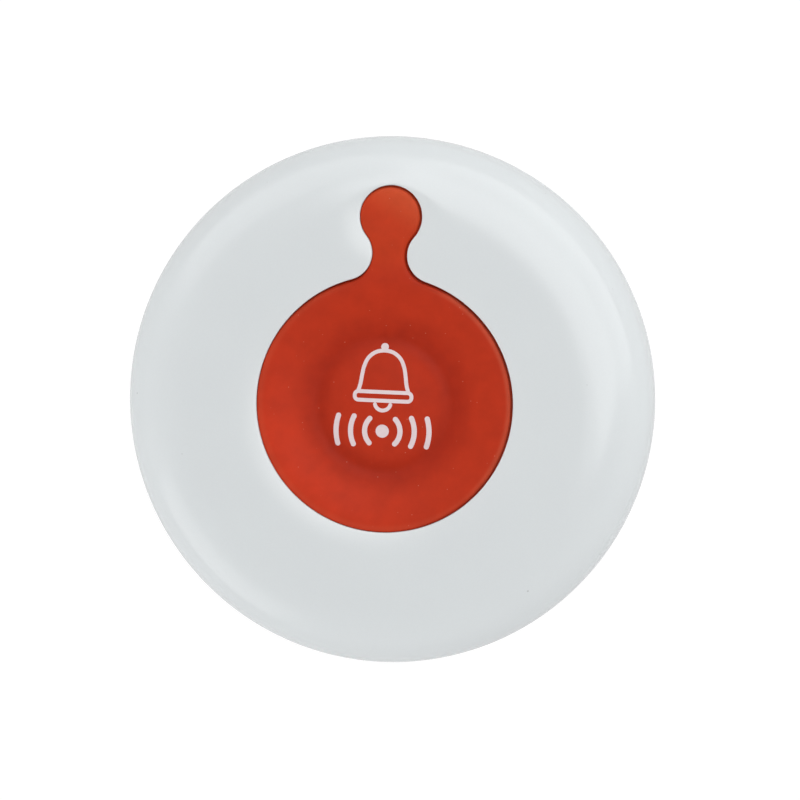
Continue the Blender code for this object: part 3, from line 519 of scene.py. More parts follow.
def keyholeDistance(x, y):
    # Distance outside the outline, negative inside it
    x = abs(x)
    cx, cy = filletCentre()
    tabY = keyhole["tabY"]
    px, py = x - cx, y - cy
    keySide = -cx * py + cy * px
    tabSide = px * (tabY - cy) + py * cx
    if keySide <= 0 and tabSide <= 0 and px < 0:
        return keyhole["fillet"] - math.hypot(px, py)
    return min(math.hypot(x, y) - keyhole["keyRadius"], math.hypot(x, y - tabY) - keyhole["tabRadius"])


# Top shell: a smooth roll, a broad crest, and a shallow dish that follows the keyhole

topShell = {"crestRadius": 19.5, "outerRadius": 30.0, "insideRadius": 28.0, "ceilingRadius": 26.5,
            "crest": 16.1, "bottom": 7.3, "roll": 2.6, "wall": 2.0,
            "dip": 0.58, "dipWidth": 4.9, "dipPower": 2.4, "blend": 0.16,
            "gap": 0.29, "edge": 0.15, "nearBand": 2.5, "handover": 28.0, "closest": 0.05, "spread": 40,
            "collarWall": 1.5, "collarBottom": 12.8, "collarStep": 0.02, "seamEdge": 0.18,
            "steps": {"wall": 5, "edge": 6, "near": 12, "dish": 40, "roll": 72, "seam": 4, "inside": 8,
                      "ceiling": 12}}


def rollHeight(r, outer, low, high):
    share = (r - topShell["crestRadius"]) / (outer - topShell["crestRadius"])
    if share <= 0:
        return high
    power = topShell["roll"]
    return low + (high - low) * max(1 - min(share, 1) ** power, 0) ** (1 / power)


def topHeight(x, y):
    roll = rollHeight(math.hypot(x, y), topShell["outerRadius"], topShell["bottom"], topShell["crest"])
    rest = max(1 - max(keyholeDistance(x, y), 0) / topShell["dipWidth"], 0)
    dish = topShell["crest"] - topShell["dip"] * rest ** topShell["dipPower"]
    near = max(topShell["blend"] - abs(roll - dish), 0) / topShell["blend"]
    return min(roll, dish) - near ** 2 * topShell["blend"] / 4


def outerAngles(loop):
    # Where each point of a keyhole loop lands on the outer circle, with the tab's share spread out
    keyCount = keyhole["keySteps"]
    spread = math.radians(topShell["spread"])
    angles = []
    for i in range(keyCount):
        angles.append(math.pi / 2 + spread + (math.tau - 2 * spread) * i / keyCount)
    rest = loop[keyCount:] + loop[:1]
    steps = [math.dist(rest[i], rest[i + 1]) for i in range(len(rest) - 1)]
    walked = 0
    for step in steps:
        angles.append(math.pi / 2 - spread + 2 * spread * walked / sum(steps))
        walked += step
    return angles


def buildTopShell():
    gap, edge, seam = topShell["gap"], topShell["edge"], topShell["seamEdge"]
    crest, bottom, low = topShell["crest"], topShell["bottom"], topShell["collarBottom"]
    under = crest - topShell["wall"]
    inside, ceilingRadius = topShell["insideRadius"], topShell["ceilingRadius"]
    steps = topShell["steps"]
    rows = []
    wall = keyholeLoop(gap)
    for i in range(steps["wall"] + 1):
        share = i / steps["wall"]
        rows.append([(x, y, low * (1 - share) + (topHeight(x, y) - edge) * share) for x, y in wall])
    for across, up in quarter(steps["edge"])[1:]:
        rows.append([(x, y, topHeight(x, y) - edge * (1 - across))
                     for x, y in keyholeLoop(gap + edge * (1 - up))])
    inner = wall
    for i in range(1, steps["near"] + 1):
        inner = keyholeLoop(gap + edge + (topShell["nearBand"] - gap - edge) * i / steps["near"])
        rows.append([(x, y, topHeight(x, y)) for x, y in inner])
    angles = outerAngles(inner)
    handover = topShell["handover"]
    outer = [(handover * math.cos(a), handover * math.sin(a)) for a in angles]
    for i in range(1, steps["dish"] + 1):
        rows.append([(x, y, topHeight(x, y)) for x, y in between(inner, outer, i / steps["dish"])])
    rings = []
    for across, up in quarter(steps["roll"], topShell["roll"]):
        r = topShell["crestRadius"] + (topShell["outerRadius"] - topShell["crestRadius"]) * across
        z = bottom + (crest - bottom) * up
        if r > handover + topShell["closest"] and z > bottom + seam:
            rings.append((r, z))
    for across, up in quarter(steps["seam"]):
        rings.append((topShell["outerRadius"] - seam * (1 - up), bottom + seam * (1 - across)))
    for i in range(steps["inside"] + 1):
        r = inside - (inside - ceilingRadius) * (i / steps["inside"]) ** 2
        rings.append((r, rollHeight(r, inside, bottom, under)))
    rows += [[(r * math.cos(a), r * math.sin(a), z) for a in angles] for r, z in rings]
    ceiling = [(ceilingRadius * math.cos(a), ceilingRadius * math.sin(a)) for a in angles]
    collar = keyholeLoop(gap + topShell["collarWall"])
    for i in range(1, steps["ceiling"] + 1):
        lowest = low + (topShell["collarStep"] if i == steps["ceiling"] else 0)
        rows.append([(x, y, max(rollHeight(math.hypot(x, y), inside, bottom, under), lowest))
                     for x, y in between(ceiling, collar, i / steps["ceiling"])])
    rows.append([(x, y, low) for x, y in collar])
    return addSkins("topShell", [(rows, True)], absWhite)


topShellPiece = buildTopShell()
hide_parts("top_cover")
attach(topShellPiece, "housing")
print("top shell built:", len(topShellPiece.data.vertices), "points")


# Bottom shell: the curved side, a flat base, the door recess and the screw holes

bottomShell = {"baseRadius": 26.5, "outerRadius": 30.0, "base": 0.8, "parting": 7.0, "curve": 2.2,
               "curveSteps": 28, "seamEdge": 0.18, "seamSteps": 3, "around": 240,
               "doorHole": 13.7, "flatEdge": 26.0,
               # The inside in profile: lap joint, curved wall, floor, battery collar and door seat
               "inside": [(27.7, 7.0), (27.7, 8.1), (27.6, 8.2), (26.4, 8.2), (26.3, 8.1), (26.3, 5.8),
                          (27.6, 4.5), (26.6, 3.4), (24.5, 2.8), (15.3, 2.8), (15.3, 4.1), (11.5, 4.1),
                          (11.5, 3.3), (12.6, 3.3), (12.6, 2.5), (13.5, 2.5), (13.5, 1.0)],
               "screwCircle": 23.0, "screwAngles": (45, 135, 225, 315), "screwSteps": 48, "headRoom": 2.3,
               "shankRoom": 1.5, "headCeiling": 2.6, "shankCeiling": 6,
               "footCircle": 22.0, "footAngles": (0, 90, 180, 270), "footSteps": 64, "footRoom": 3.8,
               "footSeat": 0.5,
               "notchInner": 10.3, "notchOuter": 12.7, "notchSpan": 34, "notchAngles": (-15, 105, 225),
               "notchSteps": 16, "notchCeiling": 5,
               "markCircle": 15.1, "markAngles": (90, 45), "markSteps": 24, "markRoom": 0.6,
               "markDepth": 0.3}


def cutter(name, loops, low, high, flare=None):
    # One upright prism for each loop, or one shape from the loops of its lower and upper end
    verts, faces = [], []
    for lower, upper in [(loops[0], loops[1])] if flare else zip(loops, loops):
        base = len(verts)
        count = len(lower)
        rows = [(lower, low), (lower, flare[0]), (upper, flare[1])] if flare else [(lower, low)]
        rows.append((upper, high))
        verts += [(x, y, z) for loop, z in rows for x, y in loop]
        faces += skin([loop for loop, z in rows], base=base)
        last = base + count * (len(rows) - 1)
        faces += [tuple(range(base + count - 1, base - 1, -1)), tuple(range(last, last + count))]
    return addMesh(name, verts, faces, None)


def cutAway(piece, cutters):
    # The booleans are applied, and the cutters go
    for other in cutters:
        step = piece.modifiers.new(other.name, "BOOLEAN")
        step.operation = "DIFFERENCE"
        step.object = other
        step.solver = "EXACT"
    graph = bpy.context.evaluated_depsgraph_get()
    mesh = bpy.data.meshes.new_from_object(piece.evaluated_get(graph))
    piece.modifiers.clear()
    piece.data = mesh
    for other in cutters:
        bpy.data.objects.remove(other)
    mesh.shade_smooth()
    mesh.set_sharp_from_angle(angle=math.radians(meshLook["cutSharpAngle"]))


def holeLoops(group, room):
    # Round holes on the circle and at the angles of the screws, feet or marks
    circle, angles, steps = (bottomShell[group + k] for k in ("Circle", "Angles", "Steps"))
    return [arcPoints(polarPoint(circle, a), bottomShell[room], 0, math.tau, steps) for a in angles]


def buildBottomShell():
    base, parting, seam = bottomShell["base"], bottomShell["parting"], bottomShell["seamEdge"]
    profile = [(bottomShell["doorHole"], base), (bottomShell["flatEdge"], base)]
    width = bottomShell["outerRadius"] - bottomShell["baseRadius"]
    for across, up in quarter(bottomShell["curveSteps"], bottomShell["curve"]):
        z = base + (parting - base) * (1 - up)
        if z < parting - seam:
            profile.append((bottomShell["baseRadius"] + width * across, z))
    for across, up in quarter(bottomShell["seamSteps"]):
        profile.append((bottomShell["outerRadius"] - seam * (1 - up), parting - seam * (1 - across)))
    rows = turnedRows(profile + bottomShell["inside"], bottomShell["around"])
    piece = addSkins("bottomShell", [(rows, True)], absWhite)
    notches = []
    for middle in bottomShell["notchAngles"]:
        start = math.radians(middle - bottomShell["notchSpan"] / 2)
        end = math.radians(middle + bottomShell["notchSpan"] / 2)
        steps = bottomShell["notchSteps"]
        notches.append(arcPoints((0, 0), bottomShell["notchOuter"], start, end, steps, True)
                       + arcPoints((0, 0), bottomShell["notchInner"], end, start, steps, True))
    cutAway(piece, [
        cutter("headCut", holeLoops("screw", "headRoom"), 0, bottomShell["headCeiling"]),
        cutter("shankCut", holeLoops("screw", "shankRoom"), 0, bottomShell["shankCeiling"]),
        cutter("footCut", holeLoops("foot", "footRoom"), 0, base + bottomShell["footSeat"]),
        cutter("notchCut", notches, 0, bottomShell["notchCeiling"]),
        cutter("markCut", holeLoops("mark", "markRoom"), 0, base + bottomShell["markDepth"]),
    ])
    return piece


bottomShellPiece = buildBottomShell()
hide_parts("bottom_cover")
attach(bottomShellPiece, "housing")
print("bottom shell built:", len(bottomShellPiece.data.vertices), "points")


# Battery door: a round cap with three lugs, a coin slot and a pointer for the marks on the shell

batteryDoor = {"radius": 13.2, "base": 0.8, "top": 2.2, "spigot": 11.2, "inner": 10.3, "edge": 0.3,
               "edgeSteps": 6, "around": 240, "lugLow": 4.4, "lugHigh": 4.9, "lugRadius": 12.4,
               "lugSpan": 28, "lugAngles": (30, 150, 270),
               "slotLength": 13.0, "slotWidth": 1.8, "slotDepth": 0.8, "slotEdge": 0.2, "slotSteps": 12,
               "pointer": [(0, 12.3), (-0.95, 10.7), (0.95, 10.7)], "pointerDepth": 0.3}


def lugReach(angle):
    for middle in batteryDoor["lugAngles"]:
        if abs((math.degrees(angle) - middle + 180) % 360 - 180) < batteryDoor["lugSpan"] / 2:
            return batteryDoor["lugRadius"]
    return batteryDoor["spigot"]


def slotLoop(half, width):
    steps = batteryDoor["slotSteps"]
    return (arcPoints((half, 0), width, -math.pi / 2, math.pi / 2, steps, True)
            + arcPoints((-half, 0), width, math.pi / 2, 3 * math.pi / 2, steps, True))


def buildDoor():
    radius, base, edge = batteryDoor["radius"], batteryDoor["base"], batteryDoor["edge"]
    spigot, top, around = batteryDoor["spigot"], batteryDoor["top"], batteryDoor["around"]
    profile = [(0, base)]
    for across, up in quarter(batteryDoor["edgeSteps"]):
        profile.append((radius - edge + edge * across, base + edge - edge * up))
    rows = turnedRows(profile + [(radius, top), (spigot, top), (spigot, batteryDoor["lugLow"])], around)
    for level in ("lugLow", "lugHigh"):
        rows.append([(lugReach(a) * math.cos(a), lugReach(a) * math.sin(a), batteryDoor[level])
                     for a in (meshLook["turnStart"] + math.tau * i / around for i in range(around))])
    rows += turnedRows([(spigot, batteryDoor["lugHigh"]), (batteryDoor["inner"], batteryDoor["lugHigh"]),
                        (batteryDoor["inner"], top), (0, top)], around)
    piece = addSkins("batteryDoor", [(rows, False)], absWhite)
    half = (batteryDoor["slotLength"] - batteryDoor["slotWidth"]) / 2
    width = batteryDoor["slotWidth"] / 2
    lip = batteryDoor["slotEdge"]
    cutAway(piece, [
        cutter("slotCut", [slotLoop(half, width + lip), slotLoop(half, width)], 0,
               base + batteryDoor["slotDepth"], (base, base + lip)),
        cutter("pointerCut", [batteryDoor["pointer"]], 0, base + batteryDoor["pointerDepth"]),
    ])
    return piece


doorPiece = buildDoor()
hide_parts("battery_door")
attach(doorPiece, "door")
print("battery door built:", len(doorPiece.data.vertices), "points")


# Red silicone moulding: one skin over key, neck and tab; the real moulding bends at the neck when the key
# goes down

redSkin = {"top": 15.45, "bottom": 13.6, "grow": 0.13, "shift": (-0.1, -0.07), "rungs": 60,
           "edge": (0.08, 0.5), "edgeDrop": 0.7, "edgeTurn": (-0.6, 0.4), "edgeSteps": 8, "light": 40,
           "skirt": 0.26, "skirtDrop": (0.14, 0.75), "skirtStep": 0.03,
           "bowlStart": 14.0, "bowlRadius": 7.5, "bowlDepth": 1.1, "crown": 0.4, "grooveDepth": 0.2,
           "grooveWidth": 1.3, "tabTop": 15.55, "tabRise": (16.2, 19.2), "tabDish": 0.04, "tabFlat": 0.5,
           "tabBottom": 14.25, "bottomRise": (17.0, 18.2), "bendStart": 14.15, "bendEnd": 17.2,
           "bossRadius": 2.0, "bossLow": 12.8, "bossHigh": 13.7, "bossEdge": 0.15, "bossSteps": 48}


def redHeight(x, y):
    # Height of the red surface, before its rounded edge
    r = math.hypot(x, y)
    top, start, radius = redSkin["top"], redSkin["bowlStart"], redSkin["bowlRadius"]
    low = top - redSkin["bowlDepth"]
    low -= redSkin["grooveDepth"] * fade(min(abs(r - radius) / redSkin["grooveWidth"], 1))
    toTab = smooth(*redSkin["tabRise"], y)
    tabShare = min(math.hypot(x, y - keyhole["tabY"]) / (keyhole["tabRadius"] - redSkin["tabFlat"]), 1)
    if r >= start:
        return top + (redSkin["tabTop"] - top) * toTab - redSkin["tabDish"] * fade(tabShare)
    if r > radius:
        return low + (top - low) * fade((start - r) / (start - radius))
    return low + redSkin["crown"] * fade(r / radius)


def spineFeet():
    # The point on the middle line that each outline point reaches inwards to
    tabY = keyhole["tabY"]
    steps = keyhole["filletSteps"]
    feet = [(0, 0)] * keyhole["keySteps"]
    feet += [(0, tabY * i / steps) for i in range(steps)]
    feet += [(0, tabY)] * keyhole["tabSteps"]
    feet += [(0, tabY * (1 - i / steps)) for i in range(steps)]
    return feet


def edgeWidths(outline):
    # Outward direction, width of the moulded edge and depth of its skirt, both larger towards the light
    probe = 0.1
    wide = keyholeLoop(redSkin["grow"] + probe)
    light = math.radians(redSkin["light"])
    sharp, soft = redSkin["edge"]
    shallow, deep = redSkin["skirtDrop"]
    made = []
    for (x, y), (wx, wy) in zip(outline, wide):
        nx, ny = (wx - x) / probe, (wy - y) / probe
        facing = nx * math.cos(light) + ny * math.sin(light)
        share = smooth(*redSkin["edgeTurn"], facing)
        made.append((nx, ny, sharp + (soft - sharp) * share, shallow + (deep - shallow) * share))
    return made


def buildRedSkin():
    outline = keyholeLoop(redSkin["grow"])
    skirt = keyholeLoop(redSkin["skirt"])
    edges = edgeWidths(outline)
    feet = spineFeet()
    drop, bottom = redSkin["edgeDrop"], redSkin["bottom"]
    under = []
    for share in (1, 0.5, 0):
        under.append([(x, y, bottom + (redSkin["tabBottom"] - bottom) * smooth(*redSkin["bottomRise"], y))
                      for x, y in between(skirt, feet, share)])
    under.append([(x, y, redHeight(x, y) - deep) for (x, y), (nx, ny, width, deep) in zip(skirt, edges)])
    over = [[(x, y, redHeight(x, y) - deep + redSkin["skirtStep"])
             for (x, y), (nx, ny, width, deep) in zip(outline, edges)]]
    inner = outline
    for across, up in quarter(redSkin["edgeSteps"]):
        inner = [(x - nx * width * (1 - up), y - ny * width * (1 - up))
                 for (x, y), (nx, ny, width, deep) in zip(outline, edges)]
        over.append([(x, y, redHeight(x, y) - width * drop * (1 - across))
                     for (x, y), (nx, ny, width, deep) in zip(inner, edges)])
    for i in range(1, redSkin["rungs"] + 1):
        over.append([(x, y, redHeight(x, y)) for x, y in between(inner, feet, i / redSkin["rungs"])])
    across, along = redSkin["shift"]
    rows = under + [[(x + across, y + along, z) for x, y, z in row] for row in over]
    radius, low, high, edge = (redSkin[k] for k in ("bossRadius", "bossLow", "bossHigh", "bossEdge"))
    boss = turnedRows([(0, low), (radius - edge, low), (radius, low + edge), (radius, high), (0, high)],
                      redSkin["bossSteps"])
    return addSkins("redSkin", [(rows, False), (boss, False)], siliconeRed)


redPiece = buildRedSkin()
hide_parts("silicone_key", "silicone_neck")
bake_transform(redPiece)

redFlange = {"radius": 17.55, "window": 12.7, "low": 11.8, "high": 12.5, "edge": 0.1, "around": 128,
             "tab": 4.35, "pillar": 3.1, "pillarTop": 14.35, "bore": 1.8, "boreRise": 0.9, "inset": 0.02,
             "tabAround": 64}


def buildRedFlange():
    # The clamped rim of the moulding: a flat ring round the key, and the post under the tab
    low, high, edge, inset = (redFlange[k] for k in ("low", "high", "edge", "inset"))
    radius, window, tab = redFlange["radius"], redFlange["window"], redFlange["tab"]
    bore, pillar, pillarTop = redFlange["bore"], redFlange["pillar"], redFlange["pillarTop"]
    ring = turnedRows([(window, low), (radius - edge, low), (radius, low + edge), (radius, high - edge),
                       (radius - edge, high), (window, high)], redFlange["around"])
    post = turnedRows([(bore, low + redFlange["boreRise"]), (bore, low + inset), (tab - edge, low + inset),
                       (tab, low + edge), (tab, high - edge), (tab - edge, high - inset),
                       (pillar, high - inset), (pillar, pillarTop), (bore, pillarTop)],
                      redFlange["tabAround"], (0, keyhole["tabY"]))
    return addSkins("redFlange", [(ring, True), (post, True)], siliconeRed)


flangePiece = buildRedFlange()
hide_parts("silicone_frame")
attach(flangePiece, "housing")

redWeb = {"outer": 13.5, "inner": 12.65, "low": 12.5, "high": 13.6, "sheet": 0.45, "steps": 12,
          "around": 128}


def buildRedWeb():
    # The thin sloping wall that lets the key travel
    profile = []
    for i in range(redWeb["steps"] + 1):
        t = i / redWeb["steps"]
        profile.append((redWeb["inner"] + (redWeb["outer"] - redWeb["inner"]) * fade(t),
                        redWeb["low"] + (redWeb["high"] - redWeb["low"]) * t))
    inner = [(r - redWeb["sheet"], z) for r, z in reversed(profile)]
    rows = turnedRows(profile + inner, redWeb["around"])
    return addSkins("redWeb", [(rows, True)], siliconeRed)


webPiece = buildRedWeb()
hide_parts("silicone_web")
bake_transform(webPiece)
print("red moulding built:", len(redPiece.data.vertices), "points")


# Snap dome of the switch: a thin sprung disc that the plunger presses flatter

snapDome = {"radius": 2.2, "top": 10.3, "rise": 0.4, "sheet": 0.15, "anchor": 9.5, "dimple": 0.5,
            "dimpleDepth": 0.05, "pressed": 0.6, "steps": 24, "around": 96}


def buildSnapDome():
    upper = []
    for i in range(snapDome["steps"] + 1):
        r = snapDome["radius"] * i / snapDome["steps"]
        dimple = snapDome["dimpleDepth"] * (1 - smooth(0, snapDome["dimple"], r))
        upper.append((r, snapDome["top"] - snapDome["rise"] * (r / snapDome["radius"]) ** 2 - dimple))
    lower = [(r, z - snapDome["sheet"]) for r, z in reversed(upper)]
    rows = turnedRows(upper + lower, snapDome["around"])
    return addSkins("snapDome", [(rows, False)], steelBright)


domePiece = buildSnapDome()
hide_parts("switch_dome")
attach(domePiece, "housing")
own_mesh(domePiece)
print("snap dome built")


# White print: a plain bell, and radio waves below it

inkPrint = {"lift": 0.018, "overlap": 0.002, "depth": 0.03, "cell": 0.14, "endSteps": 8, "dotHalf": 0.01,
            "sharpAngle": 60}
bellMark = {"centre": (-0.25, 2.95), "stroke": 0.43,
            "side": [(2.8, -1.5), (2.6, -0.8), (2.45, 0.2), (2.25, 1.2), (1.8, 2.15), (1.0, 2.8), (0, 3.0)],
            "rimHalf": 3.2, "rimLow": -2.62, "rimHigh": -1.65, "rimCorner": 0.42, "rimSteps": 20,
            "cornerSteps": 6, "clapper": 0.9, "clapperDrop": 0.2, "clapperArc": (195, 345),
            "clapperSteps": 20, "knob": 0.42, "knobY": 3.42}
waveMark = {"centre": (-0.2, -3.1), "stroke": 0.58, "dot": 0.74,
            "arcs": [(2.0, 44), (3.6, 26), (5.25, 17.5)], "arcSteps": 24}


def curvePoints(points, steps=10):
    # A smooth curve through the points
    padded = [points[0], *points, points[-1]]
    made = []
    for a, b, c, d in zip(padded, padded[1:], padded[2:], padded[3:]):
        for i in range(steps):
            t = i / steps
            made.append(tuple(0.5 * (2 * q + (r - p) * t + (2 * p - 5 * q + 4 * r - s) * t * t
                                     + (3 * q - p - 3 * r + s) * t ** 3)
                              for p, q, r, s in zip(a, b, c, d)))
    return made + [points[-1]]


def strokeShell(path, width, centre, overlaps=0, closed=False):
    # A thin raised stroke in narrow cells, so that it follows the bowl, with round ends unless it is closed
    # A stroke that overlaps others lies a trace above them
    half = width / 2
    sections = []
    for i, p in enumerate(path):
        before = path[i - 1] if closed or i else p
        after = path[(i + 1) % len(path)] if closed or i + 1 < len(path) else p
        sections.append((p, math.atan2(after[1] - before[1], after[0] - before[0]), half))
    if not closed:
        steps = inkPrint["endSteps"]
        caps = [(half * math.sin(math.pi / 2 * k / steps), half * math.cos(math.pi / 2 * k / steps))
                for k in range(1, steps + 1)]
        (sx, sy), start, _ = sections[0]
        (ex, ey), end, _ = sections[-1]
        tail = [((sx - d * math.cos(start), sy - d * math.sin(start)), start, w) for d, w in reversed(caps)]
        head = [((ex + d * math.cos(end), ey + d * math.sin(end)), end, w) for d, w in caps]
        sections = tail + sections + head
    cells = max(3, round(width / inkPrint["cell"]))
    shares = [1 - 2 * i / cells for i in range(cells + 1)]
    lift = inkPrint["lift"] + overlaps * inkPrint["overlap"]
    rows = []
    for (x, y), along, reach in sections:
        x, y = x + centre[0], y + centre[1]
        line = [(x - math.sin(along) * reach * s, y + math.cos(along) * reach * s) for s in shares]
        rows.append([(px, py, redHeight(px - redSkin["shift"][0], py - redSkin["shift"][1]) + level)
                     for level, part in ((lift, line), (-inkPrint["depth"], line[::-1]))
                     for px, py in part])
    return rows, closed


def dotShell(centre, radius, overlaps=0):
    # A dot is a very short stroke
    half = inkPrint["dotHalf"]
    return strokeShell([(-half, 0), (half, 0)], 2 * radius, centre, overlaps)


def rimPath():
    # A long box with round corners, and points enough on its straight sides
    half, corner = bellMark["rimHalf"], bellMark["rimCorner"]
    low, high = bellMark["rimLow"] + corner, bellMark["rimHigh"] - corner
    rim = []
    for x, y, start in ((half - corner, low, -90), (half - corner, high, 0), (corner - half, high, 90),
                        (corner - half, low, 180)):
        rim += arcPoints((x, y), corner, math.radians(start), math.radians(start + 90),
                         bellMark["cornerSteps"], True)
    for y, way in ((bellMark["rimHigh"], -1), (bellMark["rimLow"], 1)):
        place = rim.index(max((p for p in rim if abs(p[1] - y) < 1e-6), key=lambda p: -way * p[0]))
        rim[place + 1:place + 1] = [(way * (corner - half) * (1 - 2 * i / bellMark["rimSteps"]), y)
                                    for i in range(1, bellMark["rimSteps"])]
    return rim


def buildPrint():
    stroke, side = bellMark["stroke"], bellMark["side"]
    cx, cy = bellMark["centre"]
    bell = curvePoints(side + [(-x, y) for x, y in side[-2::-1]])
    clapper = arcPoints((0, bellMark["rimLow"] - bellMark["clapperDrop"]), bellMark["clapper"],
                        *(math.radians(a) for a in bellMark["clapperArc"]), bellMark["clapperSteps"], True)
    shells = [
        strokeShell(bell, stroke, (cx, cy)),
        strokeShell(rimPath(), stroke, (cx, cy), 1, closed=True),
        strokeShell(clapper, stroke, (cx, cy), 2),
        dotShell((cx, cy + bellMark["knobY"]), bellMark["knob"], 2),
        dotShell(waveMark["centre"], waveMark["dot"]),
    ]
    for radius, span in waveMark["arcs"]:
        for middle in (0, 180):
            start, end = math.radians(middle - span), math.radians(middle + span)
            path = arcPoints((0, 0), radius, start, end, waveMark["arcSteps"], True)
            shells.append(strokeShell(path, waveMark["stroke"], waveMark["centre"]))
    return addSkins("whitePrint", shells, inkWhite, inkPrint["sharpAngle"])


printPiece = buildPrint()
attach(printPiece, "key")
print("print built:", len(printPiece.data.vertices), "points")


# Feet: soft-edged rubber discs in their seats

rubberFoot = {"radius": 3.5, "top": 1.3, "edge": 0.4, "edgeSteps": 8, "around": 64,
              # Shares of the radius, and how high the hollow underneath is there
              "hollow": [(0, 0.12), (0.4, 0.108), (0.6, 0.024), (0.68, 0)]}


def buildFoot(index, centre):
    radius, edge, top = rubberFoot["radius"], rubberFoot["edge"], rubberFoot["top"]
    profile = [(radius * share, z) for share, z in rubberFoot["hollow"]]
    profile += [(radius - edge + edge * across, edge - edge * up)
                for across, up in quarter(rubberFoot["edgeSteps"])]
    rows = turnedRows(profile + [(radius, top), (0, top)], rubberFoot["around"], centre)
    piece = addSkins(f"rubberFoot{index}", [(rows, False)], rubberDark)
    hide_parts(f"rubber_foot_{index}")
    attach(piece, "housing")


for index in (1, 2, 3, 4):
    low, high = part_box(f"rubber_foot_{index}")
    buildFoot(index, ((low.x + high.x) / 2 / mm, (low.y + high.y) / 2 / mm))
print("feet built")


# Floor, world, light and camera

floorLook = {"colour": "#D2D2D2", "size": 6.0, "glow": 1.12, "shadowShare": 0.16, "mirrored": 0.3}


def paleFloor(tree):
    # Plain pale board, brightly lit: white to the camera, with a soft trace of the shadow left in it
    path = addNode(tree, "LightPath")
    soft = addNode(tree, "Math", [(path, "Is Glossy Ray"), (path, "Is Transmission Ray")],
                   operation="MAXIMUM")
    mirrored = addNode(tree, "Math", [soft, floorLook["mirrored"]], operation="MULTIPLY")
    seen = addNode(tree, "Math", [(path, "Is Camera Ray"), 1 - floorLook["shadowShare"]],
                   operation="MULTIPLY")
    share = addNode(tree, "Math", [seen, mirrored], operation="MAXIMUM")
    board = addNode(tree, "BsdfDiffuse", {"Color": floorLook["colour"]})
    white = addNode(tree, "Emission", {"Color": (1, 1, 1, 1), "Strength": floorLook["glow"]})
    return addNode(tree, "MixShader", [share, board, white])


half = floorLook["size"] / 2 / mm
floorPiece = addMesh("floor", [(-half, -half, 0), (half, -half, 0), (half, half, 0), (-half, half, 0)],
                     [(0, 1, 2, 3)], newMaterial(paleFloor))

skyLook = {"light": 0.38, "horizon": 2.5, "band": 4.0}


def paleSky(tree):
    # White to the camera and in reflections, and brighter near the horizon for everything else it lights
    path = addNode(tree, "LightPath")
    direct = addNode(tree, "Math", [(path, "Is Camera Ray"), (path, "Is Glossy Ray")], operation="MAXIMUM")
    seen = addNode(tree, "Math", [direct, (path, "Is Transmission Ray")], operation="MAXIMUM")
    axes = addNode(tree, "SeparateXYZ", [(addNode(tree, "TexCoord"), "Generated")])
    rise = addNode(tree, "Math", [(axes, "Z")], operation="ABSOLUTE")
    low = addNode(tree, "Math", [1.0, rise], operation="SUBTRACT", use_clamp=True)
    band = addNode(tree, "Math", [low, skyLook["band"]], operation="POWER")
    light = addNode(tree, "Math", [band, skyLook["horizon"], skyLook["light"]], operation="MULTIPLY_ADD")
    level = addNode(tree, "MapRange", {0: seen, 3: light, 4: 1.0})
    return addNode(tree, "Background", {"Color": (1, 1, 1, 1), "Strength": level})


world = bpy.data.worlds.new("studio")
bpy.context.scene.world = world
world.use_nodes = True
world.node_tree.nodes.clear()
addNode(world.node_tree, "OutputWorld", {"Surface": paleSky(world.node_tree)})

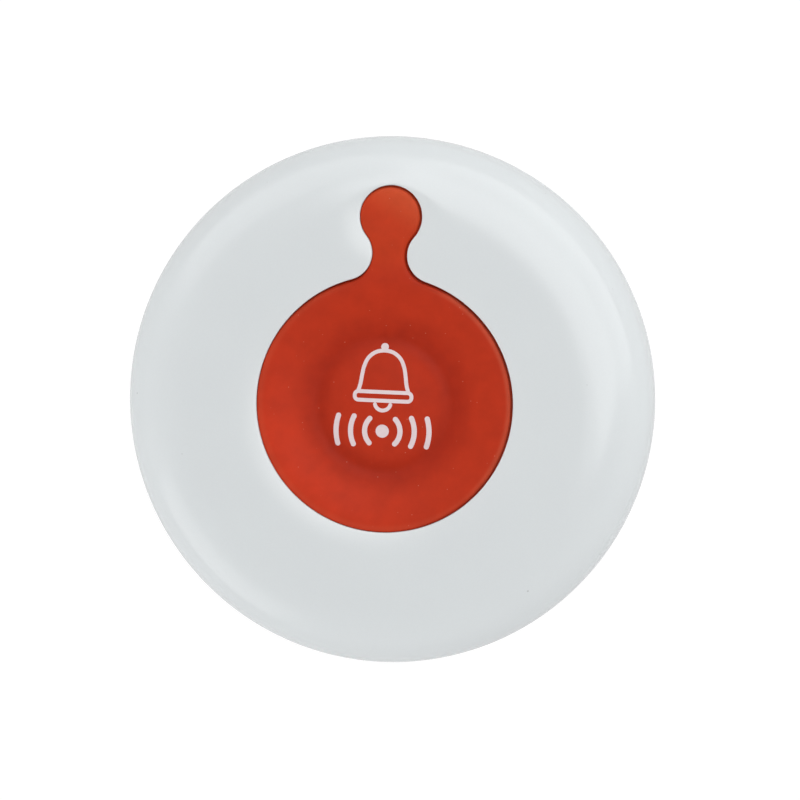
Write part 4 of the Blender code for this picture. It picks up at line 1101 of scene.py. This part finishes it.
# Places and sizes in metres. The lamps that light the shell and those that it mirrors are separate,
# so that the crescent and the rim bands keep their strengths
lamps = {
    "window": {"from": (0.300, 0.289, 0.618), "size": 0.7, "radiance": 1.86, "glossy": False},
    "windowGleam": {"from": (0.241, 0.268, 0.658), "size": 1.04, "tall": 0.44, "radiance": 1.93,
                    "diffuse": False},
    "highGleam": {"from": (0.072, 0.080, 0.742), "size": 0.8, "tall": 0.10, "radiance": 0.85,
                  "diffuse": False},
    "lowGleam": {"from": (0.455, 0.506, 0.316), "size": 1.3, "tall": 0.55, "radiance": 1.1,
                 "diffuse": False},
    "backGleam": {"from": (-0.381, 0.564, 0.317), "size": 0.95, "tall": 0.62, "radiance": 0.72,
                  "diffuse": False},
    "frontGleam": {"from": (-0.511, -0.475, 0.270), "size": 0.52, "tall": 0.45, "radiance": 0.75,
                   "diffuse": False},
    "lowFill": {"from": (-0.62, -0.44, 0.13), "size": 0.6, "radiance": 2.1, "glossy": False},
}
for name, lamp in lamps.items():
    light = bpy.data.lights.new(name, "AREA")
    light.shape = "RECTANGLE"
    light.size = lamp["size"]
    light.size_y = lamp.get("tall", lamp["size"])
    light.energy = lamp["radiance"] * math.pi * light.size * light.size_y
    holder = bpy.data.objects.new(name, light)
    holder.location = lamp["from"]
    holder.rotation_euler = (-Vector(lamp["from"])).to_track_quat("-Z", "Y").to_euler()
    holder.visible_glossy = lamp.get("glossy", True)
    holder.visible_diffuse = lamp.get("diffuse", True)
    bpy.context.scene.collection.objects.link(holder)

shot = {"distance": 400, "frameWidth": 91.4, "sensor": 36, "tilt": 7.0, "towards": 34.5, "roll": 2.1,
        "target": (0, 0, 7.2), "pixelOffset": (-8.05, 0.57), "imagePixels": 800, "clipStart": 10}


def buildCamera():
    # The photograph's view: almost straight down, leaning a little to the upper right
    tilt, towards, roll = (math.radians(shot[k]) for k in ("tilt", "towards", "roll"))
    back = Vector((math.sin(tilt) * math.cos(towards), math.sin(tilt) * math.sin(towards), math.cos(tilt)))
    north = Vector((0, 1, 0))
    up = (north - back * north.dot(back)).normalized()
    right = up.cross(back)
    turned = up * math.cos(roll) - right * math.sin(roll)
    across = right * math.cos(roll) + up * math.sin(roll)
    basis = Matrix((across, turned, back)).transposed()
    pixel = shot["frameWidth"] / shot["imagePixels"]
    aside, above = shot["pixelOffset"]
    aim = Vector(shot["target"]) - across * aside * pixel - turned * above * pixel
    data = bpy.data.cameras.new("camera")
    data.sensor_width = shot["sensor"]
    data.lens = shot["sensor"] * shot["distance"] / shot["frameWidth"]
    data.clip_start = shot["clipStart"] * mm
    camera = bpy.data.objects.new("camera", data)
    camera.matrix_world = Matrix.Translation((aim + back * shot["distance"]) * mm) @ basis.to_4x4()
    bpy.context.scene.collection.objects.link(camera)
    bpy.context.scene.camera = camera


buildCamera()
bpy.context.scene.view_settings.view_transform = "Standard"
print("stage set")
